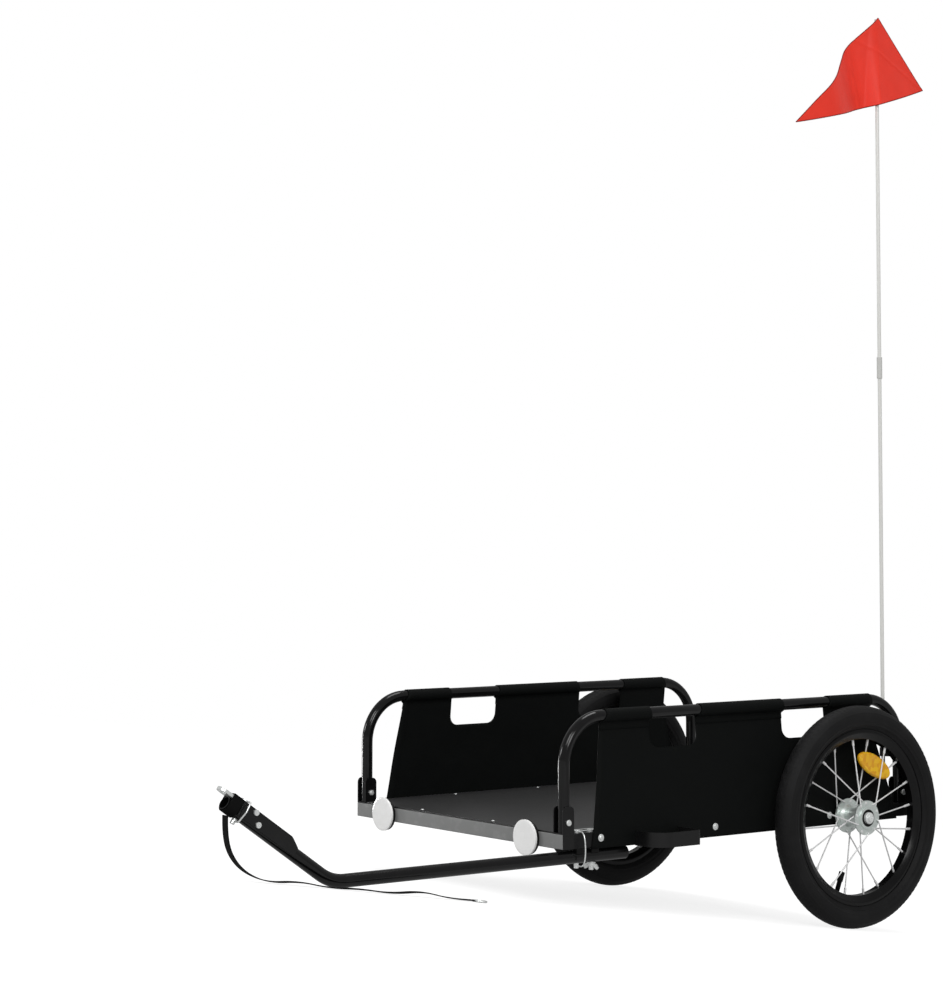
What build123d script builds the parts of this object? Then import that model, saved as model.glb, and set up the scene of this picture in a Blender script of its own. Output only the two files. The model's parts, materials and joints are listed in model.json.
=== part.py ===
"""Two-wheeled bicycle cargo trailer, parked nose down on its tow arm.

The trailer is laid out level, as it is towed, with its axle line at Y = 0: forward is -Y, the
trailer's own left is +X and up is +Z.  The whole of it is then turned about the axle line until
the bend of the tow arm touches the floor, which is how it stands when nothing tows it, and is
moved so that the middle of its bounding box stands over the origin.  Lengths are millimetres.
"""

import os
from math import acos, atan2, cos, degrees, hypot, radians, sin, tan

from build123d import *

# Clearances
SEAT_GAP = 0.3  # between a soft piece or a loose seat and what carries it
HOLE_GAP = 0.15  # radial, round a bolt or pin in its hole
BORE_GAP = 0.05  # radial, between the axle and the hub that runs on it
EDGE_GAP = 1.5  # from a panel's edge to the outline of what it lies on

# Frame of square tube
FRAME_WIDTH = 590.0
FRAME_FRONT = 669.0  # from the axle line to the front face
FRAME_REAR = 171.0  # from the axle line to the rear face
RAIL = 25.0
RAIL_WALL = 1.5
CROSS_RAIL = 20.0
CROSS_RAIL_PLACES = (430.0, 215.0)  # ahead of the axle line
AXLE_TUBE_WALL = 1.5

# Deck
DECK_THICK = 2.5

# Side hoops
HOOP_D = 20.0
HOOP_WALL = 1.5
HOOP_HEIGHT = 205.0  # from the axle line up to the middle of the top tube
HOOP_BEND = 82.0
BRACKET_HEIGHT = 46.0
BRACKET_WALL = 2.0
BRACKET_CORNER = 9.0
BRACKET_BOLT_HEIGHT = 19.0
BRACKET_BOLT_R = 3.0
BRACKET_BOLT_HEAD_R = 5.2
BRACKET_BOLT_HEAD = 3.2

# Fabric sides
CLOTH = 1.6
FABRIC_FRONT_SLOPE = 32.0  # how far the front edge runs forward from top to foot
FABRIC_REAR_LEFT = (62.0, 45.0, 3.5)  # the rear edge: how far it runs back, from how far
FABRIC_REAR_RIGHT = (66.0, 12.0, 115.0)  # below the hoop, to how far above the foot
FABRIC_BELOW_RAIL = 3.0
LASHING_GAP_START = 100.0  # from the middle of the hoop
LASHING_GAP_END = 220.0
LASHING_GAP_DEPTH = 58.0  # below the middle of the top tube
LASHING_GAP_CORNER = 18.0

# Side guards of bent flat bar
GUARD_LONG = 100.0
GUARD_OUT = 58.0
GUARD_THICK = 3.0
GUARD_FRONT_BEND = 34.0
GUARD_REAR_BEND = 6.0
GUARD_BACK = 211.0  # from the frame's front face to its middle
GUARD_DROP = 4.0  # its foot, below the side rail's

# Wheels
WHEEL_R = 200.0
TYRE_WIDTH = 44.0
TYRE_FOOT_WIDTH = 22.4
TYRE_FOOT_DEPTH = 46.7  # this and the next four: from the tread in towards the axle line
RIM_LIP_DEPTH = 41.5
RIM_SEAT_DEPTH = 47.0
RIM_INNER_DEPTH = 60.0
VALVE_DEPTH = 96.0
RIM_WIDTH = 27.0
RIM_LIP = 2.0
RIM_INNER_WIDTH = 16.0
HUB_LENGTH = 55.0
HUB_BARREL_R = 16.0
HUB_BOSS_R = 20.0
FLANGE_R = 31.0
FLANGE_THICK = 3.0
FLANGE_SPREAD = 46.0
HUB_RECESS_R = 15.5
HUB_RECESS = 5.5
SPOKES_PER_FLANGE = 10
SPOKE_R = 1.0
SPOKE_CIRCLE_R = 27.0
SPOKE_RIM_OFFSET = 2.0
SPOKE_LIFT = 1.4  # an outer spoke's room over the flange, so that it clears the edge
SPOKE_HEAD_R = 1.9
SPOKE_HEAD = 1.2
SPOKE_PHASE = 13.0  # degrees, first spoke hole from the top of the wheel
REFLECTOR_LONG = 89.0
REFLECTOR_SHORT = 37.0
REFLECTOR_THICK = 8.4
REFLECTOR_BEVEL = 2.4
REFLECTOR_DEPTH = 100.0  # from the tread to its middle
REFLECTOR_ANGLE = 26.6  # degrees from the top, turning to the rear
VALVE_ANGLE = 202.6
VALVE_R = 3.2
VALVE_CAP_R = 4.0
VALVE_CAP = 17.0

# Quick-release axles
AXLE_R = 6.0
AXLE_INNER = 62.0  # how far the shaft reaches in from the outer face of the rail
AXLE_HEAD_R = 10.4
AXLE_HEAD_PROUD = 5.0
AXLE_BUTTON_R = 6.0
AXLE_BUTTON = 2.5
SOCKET_R = 9.5
SOCKET_LENGTH = 52.0
COLLAR_R = 14.0
COLLAR = 5.0
HUB_RUN_GAP = 0.5

# Tow arm
ARM_D = 22.0
ARM_WALL = 1.5
ARM_BELOW_RAIL = 4.0  # from the side rail down to the top of the level run
ARM_OVERLAP = 148.0  # how far it reaches back under the side rail
ARM_REACH = 462.0  # from the frame's front face to the corner of the bend
ARM_BEND_R = 80.0
ARM_RISE = 34.5  # degrees
ARM_NOSE = 240.0  # from the corner of the bend to the tube's front end
PIN_R = 4.0
LOCK_PIN_BACK = 40.0  # from the frame's front face
PIVOT_BACK = 73.0
PIN_HEAD_R = 7.0
BOLT_HEAD_R = 7.5
PIN_HEAD = 4.0
PIN_BELOW = 8.0
BAIL_R = 1.25
BAIL_REACH = 17.0
PAD_LENGTH = 16.0
PAD_INSET = 1.5  # from the faces of the rail
WING_HUB_R = 6.0
WING_HUB = 7.0
WING_SPAN = 30.0
WING_THICK = 2.5

# Hitch on the nose of the tow arm, measured along the arm from the corner of its bend
CHANNEL_REAR = 92.0
CHANNEL_CHAMFER = 20.0
CHANNEL_FRONT = 217.0
CHANNEL_WALL = 2.5
CHANNEL_CORNER = 2.9
CHANNEL_SKIRT = 6.0  # how far its flanges reach below the arm's axis
TONGUE_THICK = 5.0
TONGUE_REAR = 200.0
TONGUE_FRONT = 262.0
TONGUE_EYE_R = 5.1
HITCH_PIN_PLACE = 210.0
HITCH_BOLT_R = 2.4
HITCH_BOLT_HEAD_R = 4.6
HITCH_BOLT_HEAD = 3.0
HITCH_BOLTS = (190.0, 176.0)
STRAP_LOOP_PLACE = 228.0

# Safety strap
STRAP_WIDTH = 20.0
STRAP_THICK = 2.0
STRAP_HEADING = 9.0  # degrees from the rearward direction, turning outboard
STRAP_RING_R = 11.0
STRAP_RING_WIRE_R = 1.75

# Reflectors on the end rails
LAMP_R = 30.0
LAMP_BASE = 6.0
LAMP_LENS = 4.0
LAMP_PLACE = 205.0

# Flag
POLE_R = 3.5
POLE_PLACE = 134.0  # behind the axle line
POLE_SPLIT = 823.0  # heights above the axle line
POLE_TOP = 1488.0
FERRULE_R = 5.0
FERRULE_LENGTH = 40.0
FLAG_SLEEVE = 160.0
FLAG_REAR = 122.0
FLAG_REAR_DROP = 127.0
FLAG_TIP = 217.0
FLAG_TIP_DROP = 221.0
FLAG_FOLD = 29.0  # how far the fold stands inboard of the flag's flat part
FLAG_SWELL = 24.0  # how far the swell ahead of the fold stands outboard
FLAG_FOLD_START = 24.0  # distances ahead of the pole
FLAG_FOLD_PLACE = 66.0
FLAG_SWELL_PLACE = 130.0
FLAG_FOLD_R = 13.0
FLAG_SWELL_R = 34.0
CLIP_WALL = 3.0
CLIP_HEIGHT = 16.0
CLIP_BELOW_BEND = 10.0
CUP_HEIGHT = 22.0
CUP_FLOOR = 2.5
CUP_REACH = 16.0  # from the pole out over the side rail

# Sizes that follow from those above
AXLE_Z = WHEEL_R
HALF_WIDTH = FRAME_WIDTH / 2
RAIL_X = HALF_WIDTH - RAIL / 2
RAIL_TOP = AXLE_Z + RAIL / 2
RAIL_FOOT = AXLE_Z - RAIL / 2
HOOP_Z = AXLE_Z + HOOP_HEIGHT
HOOP_FRONT_Y = -(FRAME_FRONT - RAIL / 2)
HOOP_REAR_Y = FRAME_REAR - RAIL / 2
HOOP_MIDDLE_Y = (HOOP_FRONT_Y + HOOP_REAR_Y) / 2
HOOP_STRAIGHT = (HOOP_REAR_Y - HOOP_FRONT_Y) / 2 - HOOP_BEND  # half the top tube's run
HUB_END = HALF_WIDTH + COLLAR + HUB_RUN_GAP
WHEEL_X = HUB_END + HUB_LENGTH / 2
TYRE_FOOT_R = WHEEL_R - TYRE_FOOT_DEPTH
RIM_LIP_R = WHEEL_R - RIM_LIP_DEPTH
RIM_SEAT_R = WHEEL_R - RIM_SEAT_DEPTH
RIM_INNER_R = WHEEL_R - RIM_INNER_DEPTH
VALVE_INNER_R = WHEEL_R - VALVE_DEPTH
REFLECTOR_PLACE_R = WHEEL_R - REFLECTOR_DEPTH
GUARD_PLACE = FRAME_FRONT - GUARD_BACK
LOCK_PIN_PLACE = FRAME_FRONT - LOCK_PIN_BACK
PIVOT_PLACE = FRAME_FRONT - PIVOT_BACK
ARM_R = ARM_D / 2
ARM_DROP = RAIL / 2 + ARM_BELOW_RAIL + ARM_R  # from the axle line down to its middle
ARM_Z = AXLE_Z - ARM_DROP
ARM_REAR = FRAME_FRONT - ARM_OVERLAP
ARM_BEND_PLACE = FRAME_FRONT + ARM_REACH
POLE_X = RAIL_X - HOOP_D / 2 - POLE_R - 0.5
POLE_FOOT = RAIL_TOP + CUP_FLOOR + SEAT_GAP
CUP_R = POLE_R + CLIP_WALL
CLIP_PLACE = HOOP_HEIGHT - HOOP_BEND - CLIP_BELOW_BEND - CLIP_HEIGHT  # above the axle line


def at_left_and_right(piece):
    """A piece built at the trailer's left, and the same piece mirrored to the right."""
    return piece, mirror(piece, about=Plane.YZ)


def rod(start, end, radius):
    """A round bar between two points."""
    line = Line(start, end)
    return extrude(Plane(origin=start, z_dir=line % 0) * Circle(radius), amount=line.length)


def square_tube(start, end, size, wall):
    """A square tube between two points, with its sides along the trailer's axes."""
    line = Line(start, end)
    across = (0, 0, 1)
    frame = Plane(origin=start, x_dir=across, z_dir=line % 0)
    section = RectangleRounded(size, size, wall) - Rectangle(size - 2 * wall, size - 2 * wall)
    return extrude(frame * section, amount=line.length)


def bent_tube(points, bend, diameter, wall=None):
    """A round tube, or a round wire without a wall, along runs joined by bends."""
    path = FilletPolyline(*points, radius=bend)
    section = Circle(diameter / 2)
    if wall:
        section -= Circle(diameter / 2 - wall)
    return sweep(Plane(origin=path @ 0, z_dir=path % 0) * section, path=path)


def upright_hole(x, y, radius):
    """A cutter for a vertical hole through the frame and what is bolted to it."""
    return Pos(x, y, AXLE_Z) * Cylinder(radius, 4 * RAIL)


def cross_hole(y, z, radius):
    """A cutter for a hole along X at the left side rail."""
    return Pos(RAIL_X, y, z) * Rot(Y=90) * Cylinder(radius, 2 * RAIL)


# Frame


def end_rail(y):
    """A rail across the trailer with its ends closed by welded plates."""
    tube = square_tube((-HALF_WIDTH + RAIL_WALL, y, AXLE_Z), (HALF_WIDTH - RAIL_WALL, y, AXLE_Z),
                       RAIL, RAIL_WALL)
    plate = extrude(Plane.YZ * RectangleRounded(RAIL, RAIL, RAIL_WALL), amount=RAIL_WALL)
    ends = [Pos(x, y, AXLE_Z) * plate for x in (-HALF_WIDTH, HALF_WIDTH - RAIL_WALL)]
    return tube + ends


def side_rail():
    """The left side rail, between the end rails, bored for the axle socket."""
    rail = square_tube((RAIL_X, -FRAME_FRONT + RAIL, AXLE_Z), (RAIL_X, FRAME_REAR - RAIL, AXLE_Z),
                       RAIL, RAIL_WALL)
    return rail - cross_hole(0, AXLE_Z, SOCKET_R + HOLE_GAP)


def cross_rails():
    """The square tubes that carry the deck between the side rails."""
    inner = HALF_WIDTH - RAIL
    z = RAIL_TOP - CROSS_RAIL / 2
    return [square_tube((-inner, -place, z), (inner, -place, z), CROSS_RAIL, RAIL_WALL)
            for place in CROSS_RAIL_PLACES]


def axle_tube():
    """The round tube between the side rails that the axle sockets reach into."""
    inner = HALF_WIDTH - RAIL
    section = Circle(RAIL / 2) - Circle(RAIL / 2 - AXLE_TUBE_WALL)
    return extrude(Plane.YZ.offset(-inner) * Pos(0, AXLE_Z) * section, amount=2 * inner)


def corner_cut(x, y):
    """A cutter for a corner of the deck: all that lies beyond a point, seen from the middle."""
    corner = (Align.MIN if x > 0 else Align.MAX, Align.MIN if y > 0 else Align.MAX)
    return Pos(x, y) * Rectangle(HALF_WIDTH, HALF_WIDTH, align=corner)


def deck_panel():
    """The sheet over the rails, cut back at the corners round all that stands on the rails."""
    width = FRAME_WIDTH - 2 * EDGE_GAP
    length = FRAME_FRONT + FRAME_REAR - 2 * EDGE_GAP
    middle = (FRAME_REAR - FRAME_FRONT) / 2
    sheet = Pos(0, middle) * Rectangle(width, length)
    notch_x = HALF_WIDTH - RAIL - SEAT_GAP
    front = -FRAME_FRONT + RAIL + SEAT_GAP
    rear = FRAME_REAR - RAIL - SEAT_GAP
    pins = -PIVOT_PLACE + BOLT_HEAD_R + EDGE_GAP
    cup_edge = CUP_R + EDGE_GAP
    for x, y in ((-notch_x, front), (-notch_x, rear), (notch_x, pins), (notch_x, rear),
                 (POLE_X - cup_edge, POLE_PLACE - cup_edge)):
        sheet -= corner_cut(x, y)
    return extrude(Plane.XY.offset(RAIL_TOP) * sheet, amount=DECK_THICK)


# Side hoops


def side_hoop():
    """The left hoop: two posts and a top tube, bent in one piece and bolted at its feet."""
    foot = RAIL_TOP + BRACKET_WALL + SEAT_GAP
    points = [(RAIL_X, HOOP_FRONT_Y, foot), (RAIL_X, HOOP_FRONT_Y, HOOP_Z),
              (RAIL_X, HOOP_REAR_Y, HOOP_Z), (RAIL_X, HOOP_REAR_Y, foot)]
    hoop = bent_tube(points, HOOP_BEND, HOOP_D, HOOP_WALL)
    for y in (HOOP_FRONT_Y, HOOP_REAR_Y):
        hoop -= cross_hole(y, RAIL_TOP + BRACKET_BOLT_HEIGHT, BRACKET_BOLT_R + HOLE_GAP)
    return hoop


def hoop_bracket(y):
    """A channel on the rail, open to the end of the trailer, that holds a post of the hoop."""
    ear = Rectangle(RAIL, BRACKET_HEIGHT)
    ear = fillet(ear.vertices().group_by(Axis.Y)[-1], BRACKET_CORNER)
    ear -= Pos(0, BRACKET_BOLT_HEIGHT - BRACKET_HEIGHT / 2) * Circle(BRACKET_BOLT_R + HOLE_GAP)
    middle = RAIL_TOP + BRACKET_HEIGHT / 2
    inner = RAIL / 2 - BRACKET_WALL
    ears = [extrude(Plane.YZ.offset(x) * Pos(y, middle) * ear, amount=BRACKET_WALL)
            for x in (RAIL_X - RAIL / 2, RAIL_X + inner)]
    base = Pos(RAIL_X, y, RAIL_TOP + BRACKET_WALL / 2) * Box(RAIL, RAIL, BRACKET_WALL)
    return base + ears


def hoop_brackets():
    """The two channels of the left hoop."""
    return [hoop_bracket(HOOP_FRONT_Y), hoop_bracket(HOOP_REAR_Y)]


def bracket_bolt(y):
    """A bolt through a bracket and the post in it, with its head outside and its nut inside."""
    z = RAIL_TOP + BRACKET_BOLT_HEIGHT
    outer = RAIL_X + RAIL / 2
    inner = RAIL_X - RAIL / 2
    shank = rod((inner - BRACKET_BOLT_HEAD - 2, y, z), (outer + 1, y, z), BRACKET_BOLT_R)
    head = rod((outer, y, z), (outer + BRACKET_BOLT_HEAD, y, z), BRACKET_BOLT_HEAD_R)
    head = fillet(head.edges().group_by(Axis.X)[-1], BRACKET_BOLT_HEAD / 2)
    nut_face = Plane.YZ.offset(inner - BRACKET_BOLT_HEAD) * Pos(y, z)
    nut = extrude(nut_face * RegularPolygon(BRACKET_BOLT_HEAD_R, 6), amount=BRACKET_BOLT_HEAD)
    return shank + head + nut


def hoop_bolts():
    """The two bolts of the left hoop."""
    return [bracket_bolt(HOOP_FRONT_Y), bracket_bolt(HOOP_REAR_Y)]


# Fabric sides


def fabric_outline(rear_edge):
    """The side panel seen from the left, in Y and Z: sloping ends and two lashing gaps."""
    back, shoulder, elbow = rear_edge
    middle = HOOP_MIDDLE_Y
    top = HOOP_Z + HOOP_D
    foot = RAIL_FOOT - FABRIC_BELOW_RAIL
    front = middle - HOOP_STRAIGHT
    rear = middle + HOOP_STRAIGHT
    corners = [(front, top), (rear, top), (rear, HOOP_Z - shoulder),
               (rear + back, foot + elbow), (rear + back, foot),
               (front - FABRIC_FRONT_SLOPE, foot)]
    outline = make_face(Polyline(*corners, close=True))
    gap_width = LASHING_GAP_END - LASHING_GAP_START
    gap_foot = HOOP_Z - LASHING_GAP_DEPTH
    gap_tall = top + HOOP_D - gap_foot
    for side in (-1, 1):
        gap_middle = middle + side * (LASHING_GAP_START + LASHING_GAP_END) / 2
        gap = Pos(gap_middle, gap_foot + gap_tall / 2) * RectangleRounded(
            gap_width, gap_tall, LASHING_GAP_CORNER)
        outline -= gap
    axle_notch = Pos(0, AXLE_Z) * Circle(COLLAR_R + 2 * EDGE_GAP)
    axle_notch += Pos(0, (foot + AXLE_Z) / 2 - 1) * Rectangle(2 * (COLLAR_R + 2 * EDGE_GAP),
                                                             AXLE_Z - foot + 2)
    outline -= axle_notch
    for side in (-1, 1):
        leg = -GUARD_PLACE + side * (GUARD_LONG - GUARD_THICK) / 2
        outline -= Pos(leg, AXLE_Z - FABRIC_BELOW_RAIL) * Rectangle(
            GUARD_THICK + 2 * EDGE_GAP, RAIL + 2 * FABRIC_BELOW_RAIL + 2)
    return outline


def side_fabric(rear_edge):
    """A left side panel: a sheet outside the rail whose top wraps round the hoop."""
    inner_r = HOOP_D / 2 + SEAT_GAP
    outer_r = inner_r + CLOTH
    rail_face = HALF_WIDTH + SEAT_GAP
    foot = RAIL_FOOT - FABRIC_BELOW_RAIL
    sheet = make_face(Polyline(
        (RAIL_X + inner_r, HOOP_Z), (RAIL_X + outer_r, HOOP_Z), (rail_face + CLOTH, RAIL_TOP),
        (rail_face + CLOTH, foot), (rail_face, foot), (rail_face, RAIL_TOP), close=True))
    profile = sheet + Pos(RAIL_X, HOOP_Z) * (Circle(outer_r) - Circle(inner_r))
    wrap = extrude(Plane.XZ.offset(-HOOP_REAR_Y) * profile, amount=HOOP_REAR_Y - HOOP_FRONT_Y)
    trim = extrude(Plane.YZ.offset(RAIL_X - HOOP_D) * fabric_outline(rear_edge),
                   amount=3 * HOOP_D)
    return wrap & trim


def guard_plan(inset):
    """The guard's plan filled in and drawn in by an inset, with its two outer bends."""
    out = GUARD_OUT - inset
    block = Pos(out / 2, 0) * Rectangle(out, GUARD_LONG - 2 * inset)
    for end, bend in ((0, GUARD_FRONT_BEND), (-1, GUARD_REAR_BEND)):
        corner = block.vertices().group_by(Axis.Y)[end].sort_by(Axis.X)[-1]
        block = fillet(corner, bend - inset)
    return block


def side_guard():
    """The left strap of flat bar that keeps things off the wheel."""
    band = guard_plan(0) - guard_plan(GUARD_THICK)
    place = Pos(HALF_WIDTH, -GUARD_PLACE, RAIL_FOOT - GUARD_DROP)
    return place * extrude(band, amount=RAIL)


# Wheels, built about the X axis with their middle plane at X = 0, outboard to +X


def wheel_turn(section):
    """A ring or hub from its section, drawn with X across the wheel and Y as the radius."""
    return revolve(section, axis=Axis.X)


def tyre():
    """A smooth round tyre with the foot that sits in the rim."""
    body_r = TYRE_WIDTH / 2
    section = Pos(0, WHEEL_R - body_r) * Circle(body_r)
    foot_tall = WHEEL_R - body_r - TYRE_FOOT_R
    section += Pos(0, TYRE_FOOT_R + foot_tall / 2) * Rectangle(TYRE_FOOT_WIDTH, foot_tall)
    return wheel_turn(section)


def rim():
    """A box rim with two lips and a seat between them."""
    half = RIM_WIDTH / 2
    seat = half - RIM_LIP
    inner = RIM_INNER_WIDTH / 2
    shoulder = RIM_SEAT_R - RIM_LIP
    points = [(-half, RIM_LIP_R), (-seat, RIM_LIP_R), (-seat, RIM_SEAT_R), (seat, RIM_SEAT_R),
              (seat, RIM_LIP_R), (half, RIM_LIP_R), (half, shoulder), (inner, RIM_INNER_R),
              (-inner, RIM_INNER_R), (-half, shoulder)]
    return wheel_turn(make_face(Polyline(*points, close=True)))


def flange_side(face):
    """Distance from the hub's middle to the outer (1) or inner (-1) face of a flange."""
    return FLANGE_SPREAD / 2 + face * FLANGE_THICK / 2


def spoke_holes(side):
    """Angles of a flange's spoke holes: those of the outboard flange lie between the others."""
    pitch = 360 / SPOKES_PER_FLANGE
    start = SPOKE_PHASE + (pitch / 2 if side > 0 else 0)
    return [start + number * pitch for number in range(SPOKES_PER_FLANGE)]


def hub():
    """A turned hub with two drilled flanges and a recess for the axle's head."""
    end = HUB_LENGTH / 2
    outer = flange_side(1)
    inner = flange_side(-1)
    bore = AXLE_R + BORE_GAP
    points = [(-end, bore), (-end, HUB_BOSS_R), (-outer, HUB_BOSS_R), (-outer, FLANGE_R),
              (-inner, FLANGE_R), (-inner, HUB_BOSS_R), (-inner + 4, HUB_BARREL_R),
              (inner - 4, HUB_BARREL_R), (inner, HUB_BOSS_R), (inner, FLANGE_R),
              (outer, FLANGE_R), (outer, HUB_BOSS_R), (end, HUB_BOSS_R), (end, HUB_RECESS_R),
              (end - HUB_RECESS, HUB_RECESS_R), (end - HUB_RECESS, bore)]
    body = wheel_turn(make_face(Polyline(*points, close=True)))
    drills = [rod(wheel_point(hole, SPOKE_CIRCLE_R, side * (inner - 1)),
                  wheel_point(hole, SPOKE_CIRCLE_R, side * (outer + 1)), SPOKE_R + HOLE_GAP)
              for side in (-1, 1) for hole in spoke_holes(side)]
    return body - drills


def hub_seal():
    """The dark ring in the recess of the hub round the axle's head."""
    start = HUB_LENGTH / 2 - HUB_RECESS + SEAT_GAP
    ring = Circle(HUB_RECESS_R - SEAT_GAP / 2) - Circle(AXLE_HEAD_R + 2 * SEAT_GAP)
    return extrude(Plane.YZ.offset(start) * ring, amount=HUB_RECESS - 2 * SEAT_GAP)


def wheel_point(angle, radius, across):
    """A point on the wheel at an angle from its top, turning to the rear."""
    turn = radians(angle)
    return (across, radius * sin(turn), radius * cos(turn))


def spoke(side, hole, face):
    """One spoke, from a hole in a flange to the rim.

    Its head lies on one face of the flange, its shank goes through the hole, and its elbow lies
    beyond the other face: the outer (1) or the inner (-1), by which it also leans on or back.
    """
    pitch = 360 / SPOKES_PER_FLANGE
    lift = SPOKE_R + (SPOKE_LIFT if face > 0 else SEAT_GAP)
    elbow = wheel_point(hole, SPOKE_CIRCLE_R, side * (flange_side(face) + face * lift))
    seat = wheel_point(hole, SPOKE_CIRCLE_R, side * flange_side(-face))
    head_end = wheel_point(hole, SPOKE_CIRCLE_R, side * (flange_side(-face) - face * SPOKE_HEAD))
    end = wheel_point(hole + face * pitch, RIM_INNER_R - SPOKE_R / 2, side * SPOKE_RIM_OFFSET)
    bend = Pos(*elbow) * Sphere(SPOKE_R)
    return (rod(elbow, end, SPOKE_R) + bend + rod(elbow, seat, SPOKE_R)
            + rod(seat, head_end, SPOKE_HEAD_R))


def spokes():
    """Spokes that cross once, laid out and inside each flange in turn."""
    return [spoke(side, hole, 1 if number % 2 == 0 else -1)
            for side in (-1, 1) for number, hole in enumerate(spoke_holes(side))]


def spoke_reflector():
    """An oval lens held between the two sets of spokes."""
    x, y, z = wheel_point(REFLECTOR_ANGLE, REFLECTOR_PLACE_R, -REFLECTOR_THICK / 2)
    face = Plane(origin=(x, y, z), x_dir=(0, cos(radians(REFLECTOR_ANGLE)),
                                          -sin(radians(REFLECTOR_ANGLE))), z_dir=(1, 0, 0))
    lens = extrude(face * Ellipse(REFLECTOR_LONG / 2, REFLECTOR_SHORT / 2), amount=REFLECTOR_THICK)
    rims = lens.edges().group_by(Axis.X)
    return chamfer(rims[-1] + rims[0], REFLECTOR_BEVEL)


def valve():
    """The valve stem with its cap, pointing at the hub."""
    cap_foot = VALVE_INNER_R + VALVE_CAP
    cap = rod(wheel_point(VALVE_ANGLE, VALVE_INNER_R, 0), wheel_point(VALVE_ANGLE, cap_foot, 0),
              VALVE_CAP_R)
    stem_end = RIM_INNER_R - SEAT_GAP
    return cap + rod(wheel_point(VALVE_ANGLE, cap_foot, 0), wheel_point(VALVE_ANGLE, stem_end, 0),
                     VALVE_R)


WHEEL_PIECES = {"tyre": tyre, "rim": rim, "hub": hub, "hub_seal": hub_seal, "spokes": spokes,
                "spoke_reflector": spoke_reflector, "valve": valve}


# Axles


def axle_socket():
    """The bush through the left side rail, with a collar that spaces the hub off."""
    outer = HALF_WIDTH
    bush = Circle(SOCKET_R) - Circle(AXLE_R + BORE_GAP)
    collar = Circle(COLLAR_R) - Circle(AXLE_R + BORE_GAP)
    body = extrude(Plane.YZ.offset(outer - SOCKET_LENGTH) * bush, amount=SOCKET_LENGTH)
    body += extrude(Plane.YZ.offset(outer) * collar, amount=COLLAR)
    return Pos(0, 0, AXLE_Z) * body


def axle():
    """The quick-release axle: shaft, head in the hub's recess and push button."""
    head_start = WHEEL_X + HUB_LENGTH / 2 - HUB_RECESS + 2 * SEAT_GAP
    head_end = WHEEL_X + HUB_LENGTH / 2 + AXLE_HEAD_PROUD
    inner = HALF_WIDTH - AXLE_INNER
    shaft = extrude(Plane.YZ.offset(inner) * Circle(AXLE_R), amount=head_start - inner)
    head = extrude(Plane.YZ.offset(head_start) * Circle(AXLE_HEAD_R), amount=head_end - head_start)
    head = chamfer(head.edges().group_by(Axis.X)[-1], 1.2)
    button = extrude(Plane.YZ.offset(head_end) * Circle(AXLE_BUTTON_R), amount=AXLE_BUTTON)
    return Pos(0, 0, AXLE_Z) * (shaft + head + button)


# Tow arm and its fastenings


def arm_corner():
    """The corner of the tow arm's bend on its centre line."""
    return (RAIL_X, -ARM_BEND_PLACE, ARM_Z)


def nose_frame():
    """A plane at the corner of the bend: x along the nose of the arm, y to the left, z up."""
    rise = radians(ARM_RISE)
    return Plane(origin=arm_corner(), x_dir=(0, -cos(rise), sin(rise)),
                 z_dir=(0, sin(rise), cos(rise)))


def nose_cross_hole(place, height, radius):
    """A cutter across the nose of the arm."""
    return nose_frame() * Pos(place, 0, height) * Rot(X=90) * Cylinder(radius, 3 * ARM_D)


def nose_upright_hole(place, radius):
    """A cutter square to the nose of the arm, in its upright plane."""
    return nose_frame() * Pos(place, 0, 0) * Cylinder(radius, 3 * ARM_D)


def tow_arm():
    """The bent tube from under the left side rail to the hitch."""
    rise = radians(ARM_RISE)
    tip = (RAIL_X, -ARM_BEND_PLACE - ARM_NOSE * cos(rise), ARM_Z + ARM_NOSE * sin(rise))
    arm = bent_tube([(RAIL_X, -ARM_REAR, ARM_Z), arm_corner(), tip], ARM_BEND_R, ARM_D, ARM_WALL)
    for place in (LOCK_PIN_PLACE, PIVOT_PLACE):
        arm -= upright_hole(RAIL_X, -place, PIN_R + HOLE_GAP)
    arm -= nose_upright_hole(HITCH_PIN_PLACE, PIN_R + HOLE_GAP)
    arm -= nose_cross_hole(HITCH_BOLTS[1], 0, HITCH_BOLT_R + HOLE_GAP)
    return arm


def arm_pads():
    """Two saddles between the side rail and the tow arm, one at each pin."""
    top = RAIL_FOOT
    foot = ARM_Z + ARM_R / 2
    tube = Pos(RAIL_X, -(LOCK_PIN_PLACE + PIVOT_PLACE) / 2, ARM_Z) * Rot(X=90) * Cylinder(
        ARM_R + HOLE_GAP, 4 * PAD_LENGTH)
    pads = []
    for place in (LOCK_PIN_PLACE, PIVOT_PLACE):
        pad = Pos(RAIL_X, -place, (top + foot) / 2) * Box(
            RAIL - 2 * PAD_INSET, PAD_LENGTH, top - foot)
        pads.append(pad - tube - upright_hole(RAIL_X, -place, PIN_R + HOLE_GAP))
    return pads


def lock_pin():
    """The pin that keeps the arm from swinging, with a round head on the side rail."""
    foot = ARM_Z - ARM_R - PIN_BELOW
    shank = Pos(RAIL_X, -LOCK_PIN_PLACE, foot) * Cylinder(
        PIN_R, RAIL_TOP - foot, align=(Align.CENTER, Align.CENTER, Align.MIN))
    head = Pos(RAIL_X, -LOCK_PIN_PLACE, RAIL_TOP) * Cylinder(
        PIN_HEAD_R, PIN_HEAD, align=(Align.CENTER, Align.CENTER, Align.MIN))
    return shank + fillet(head.edges().group_by(Axis.Z)[-1], 1.5)


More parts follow.
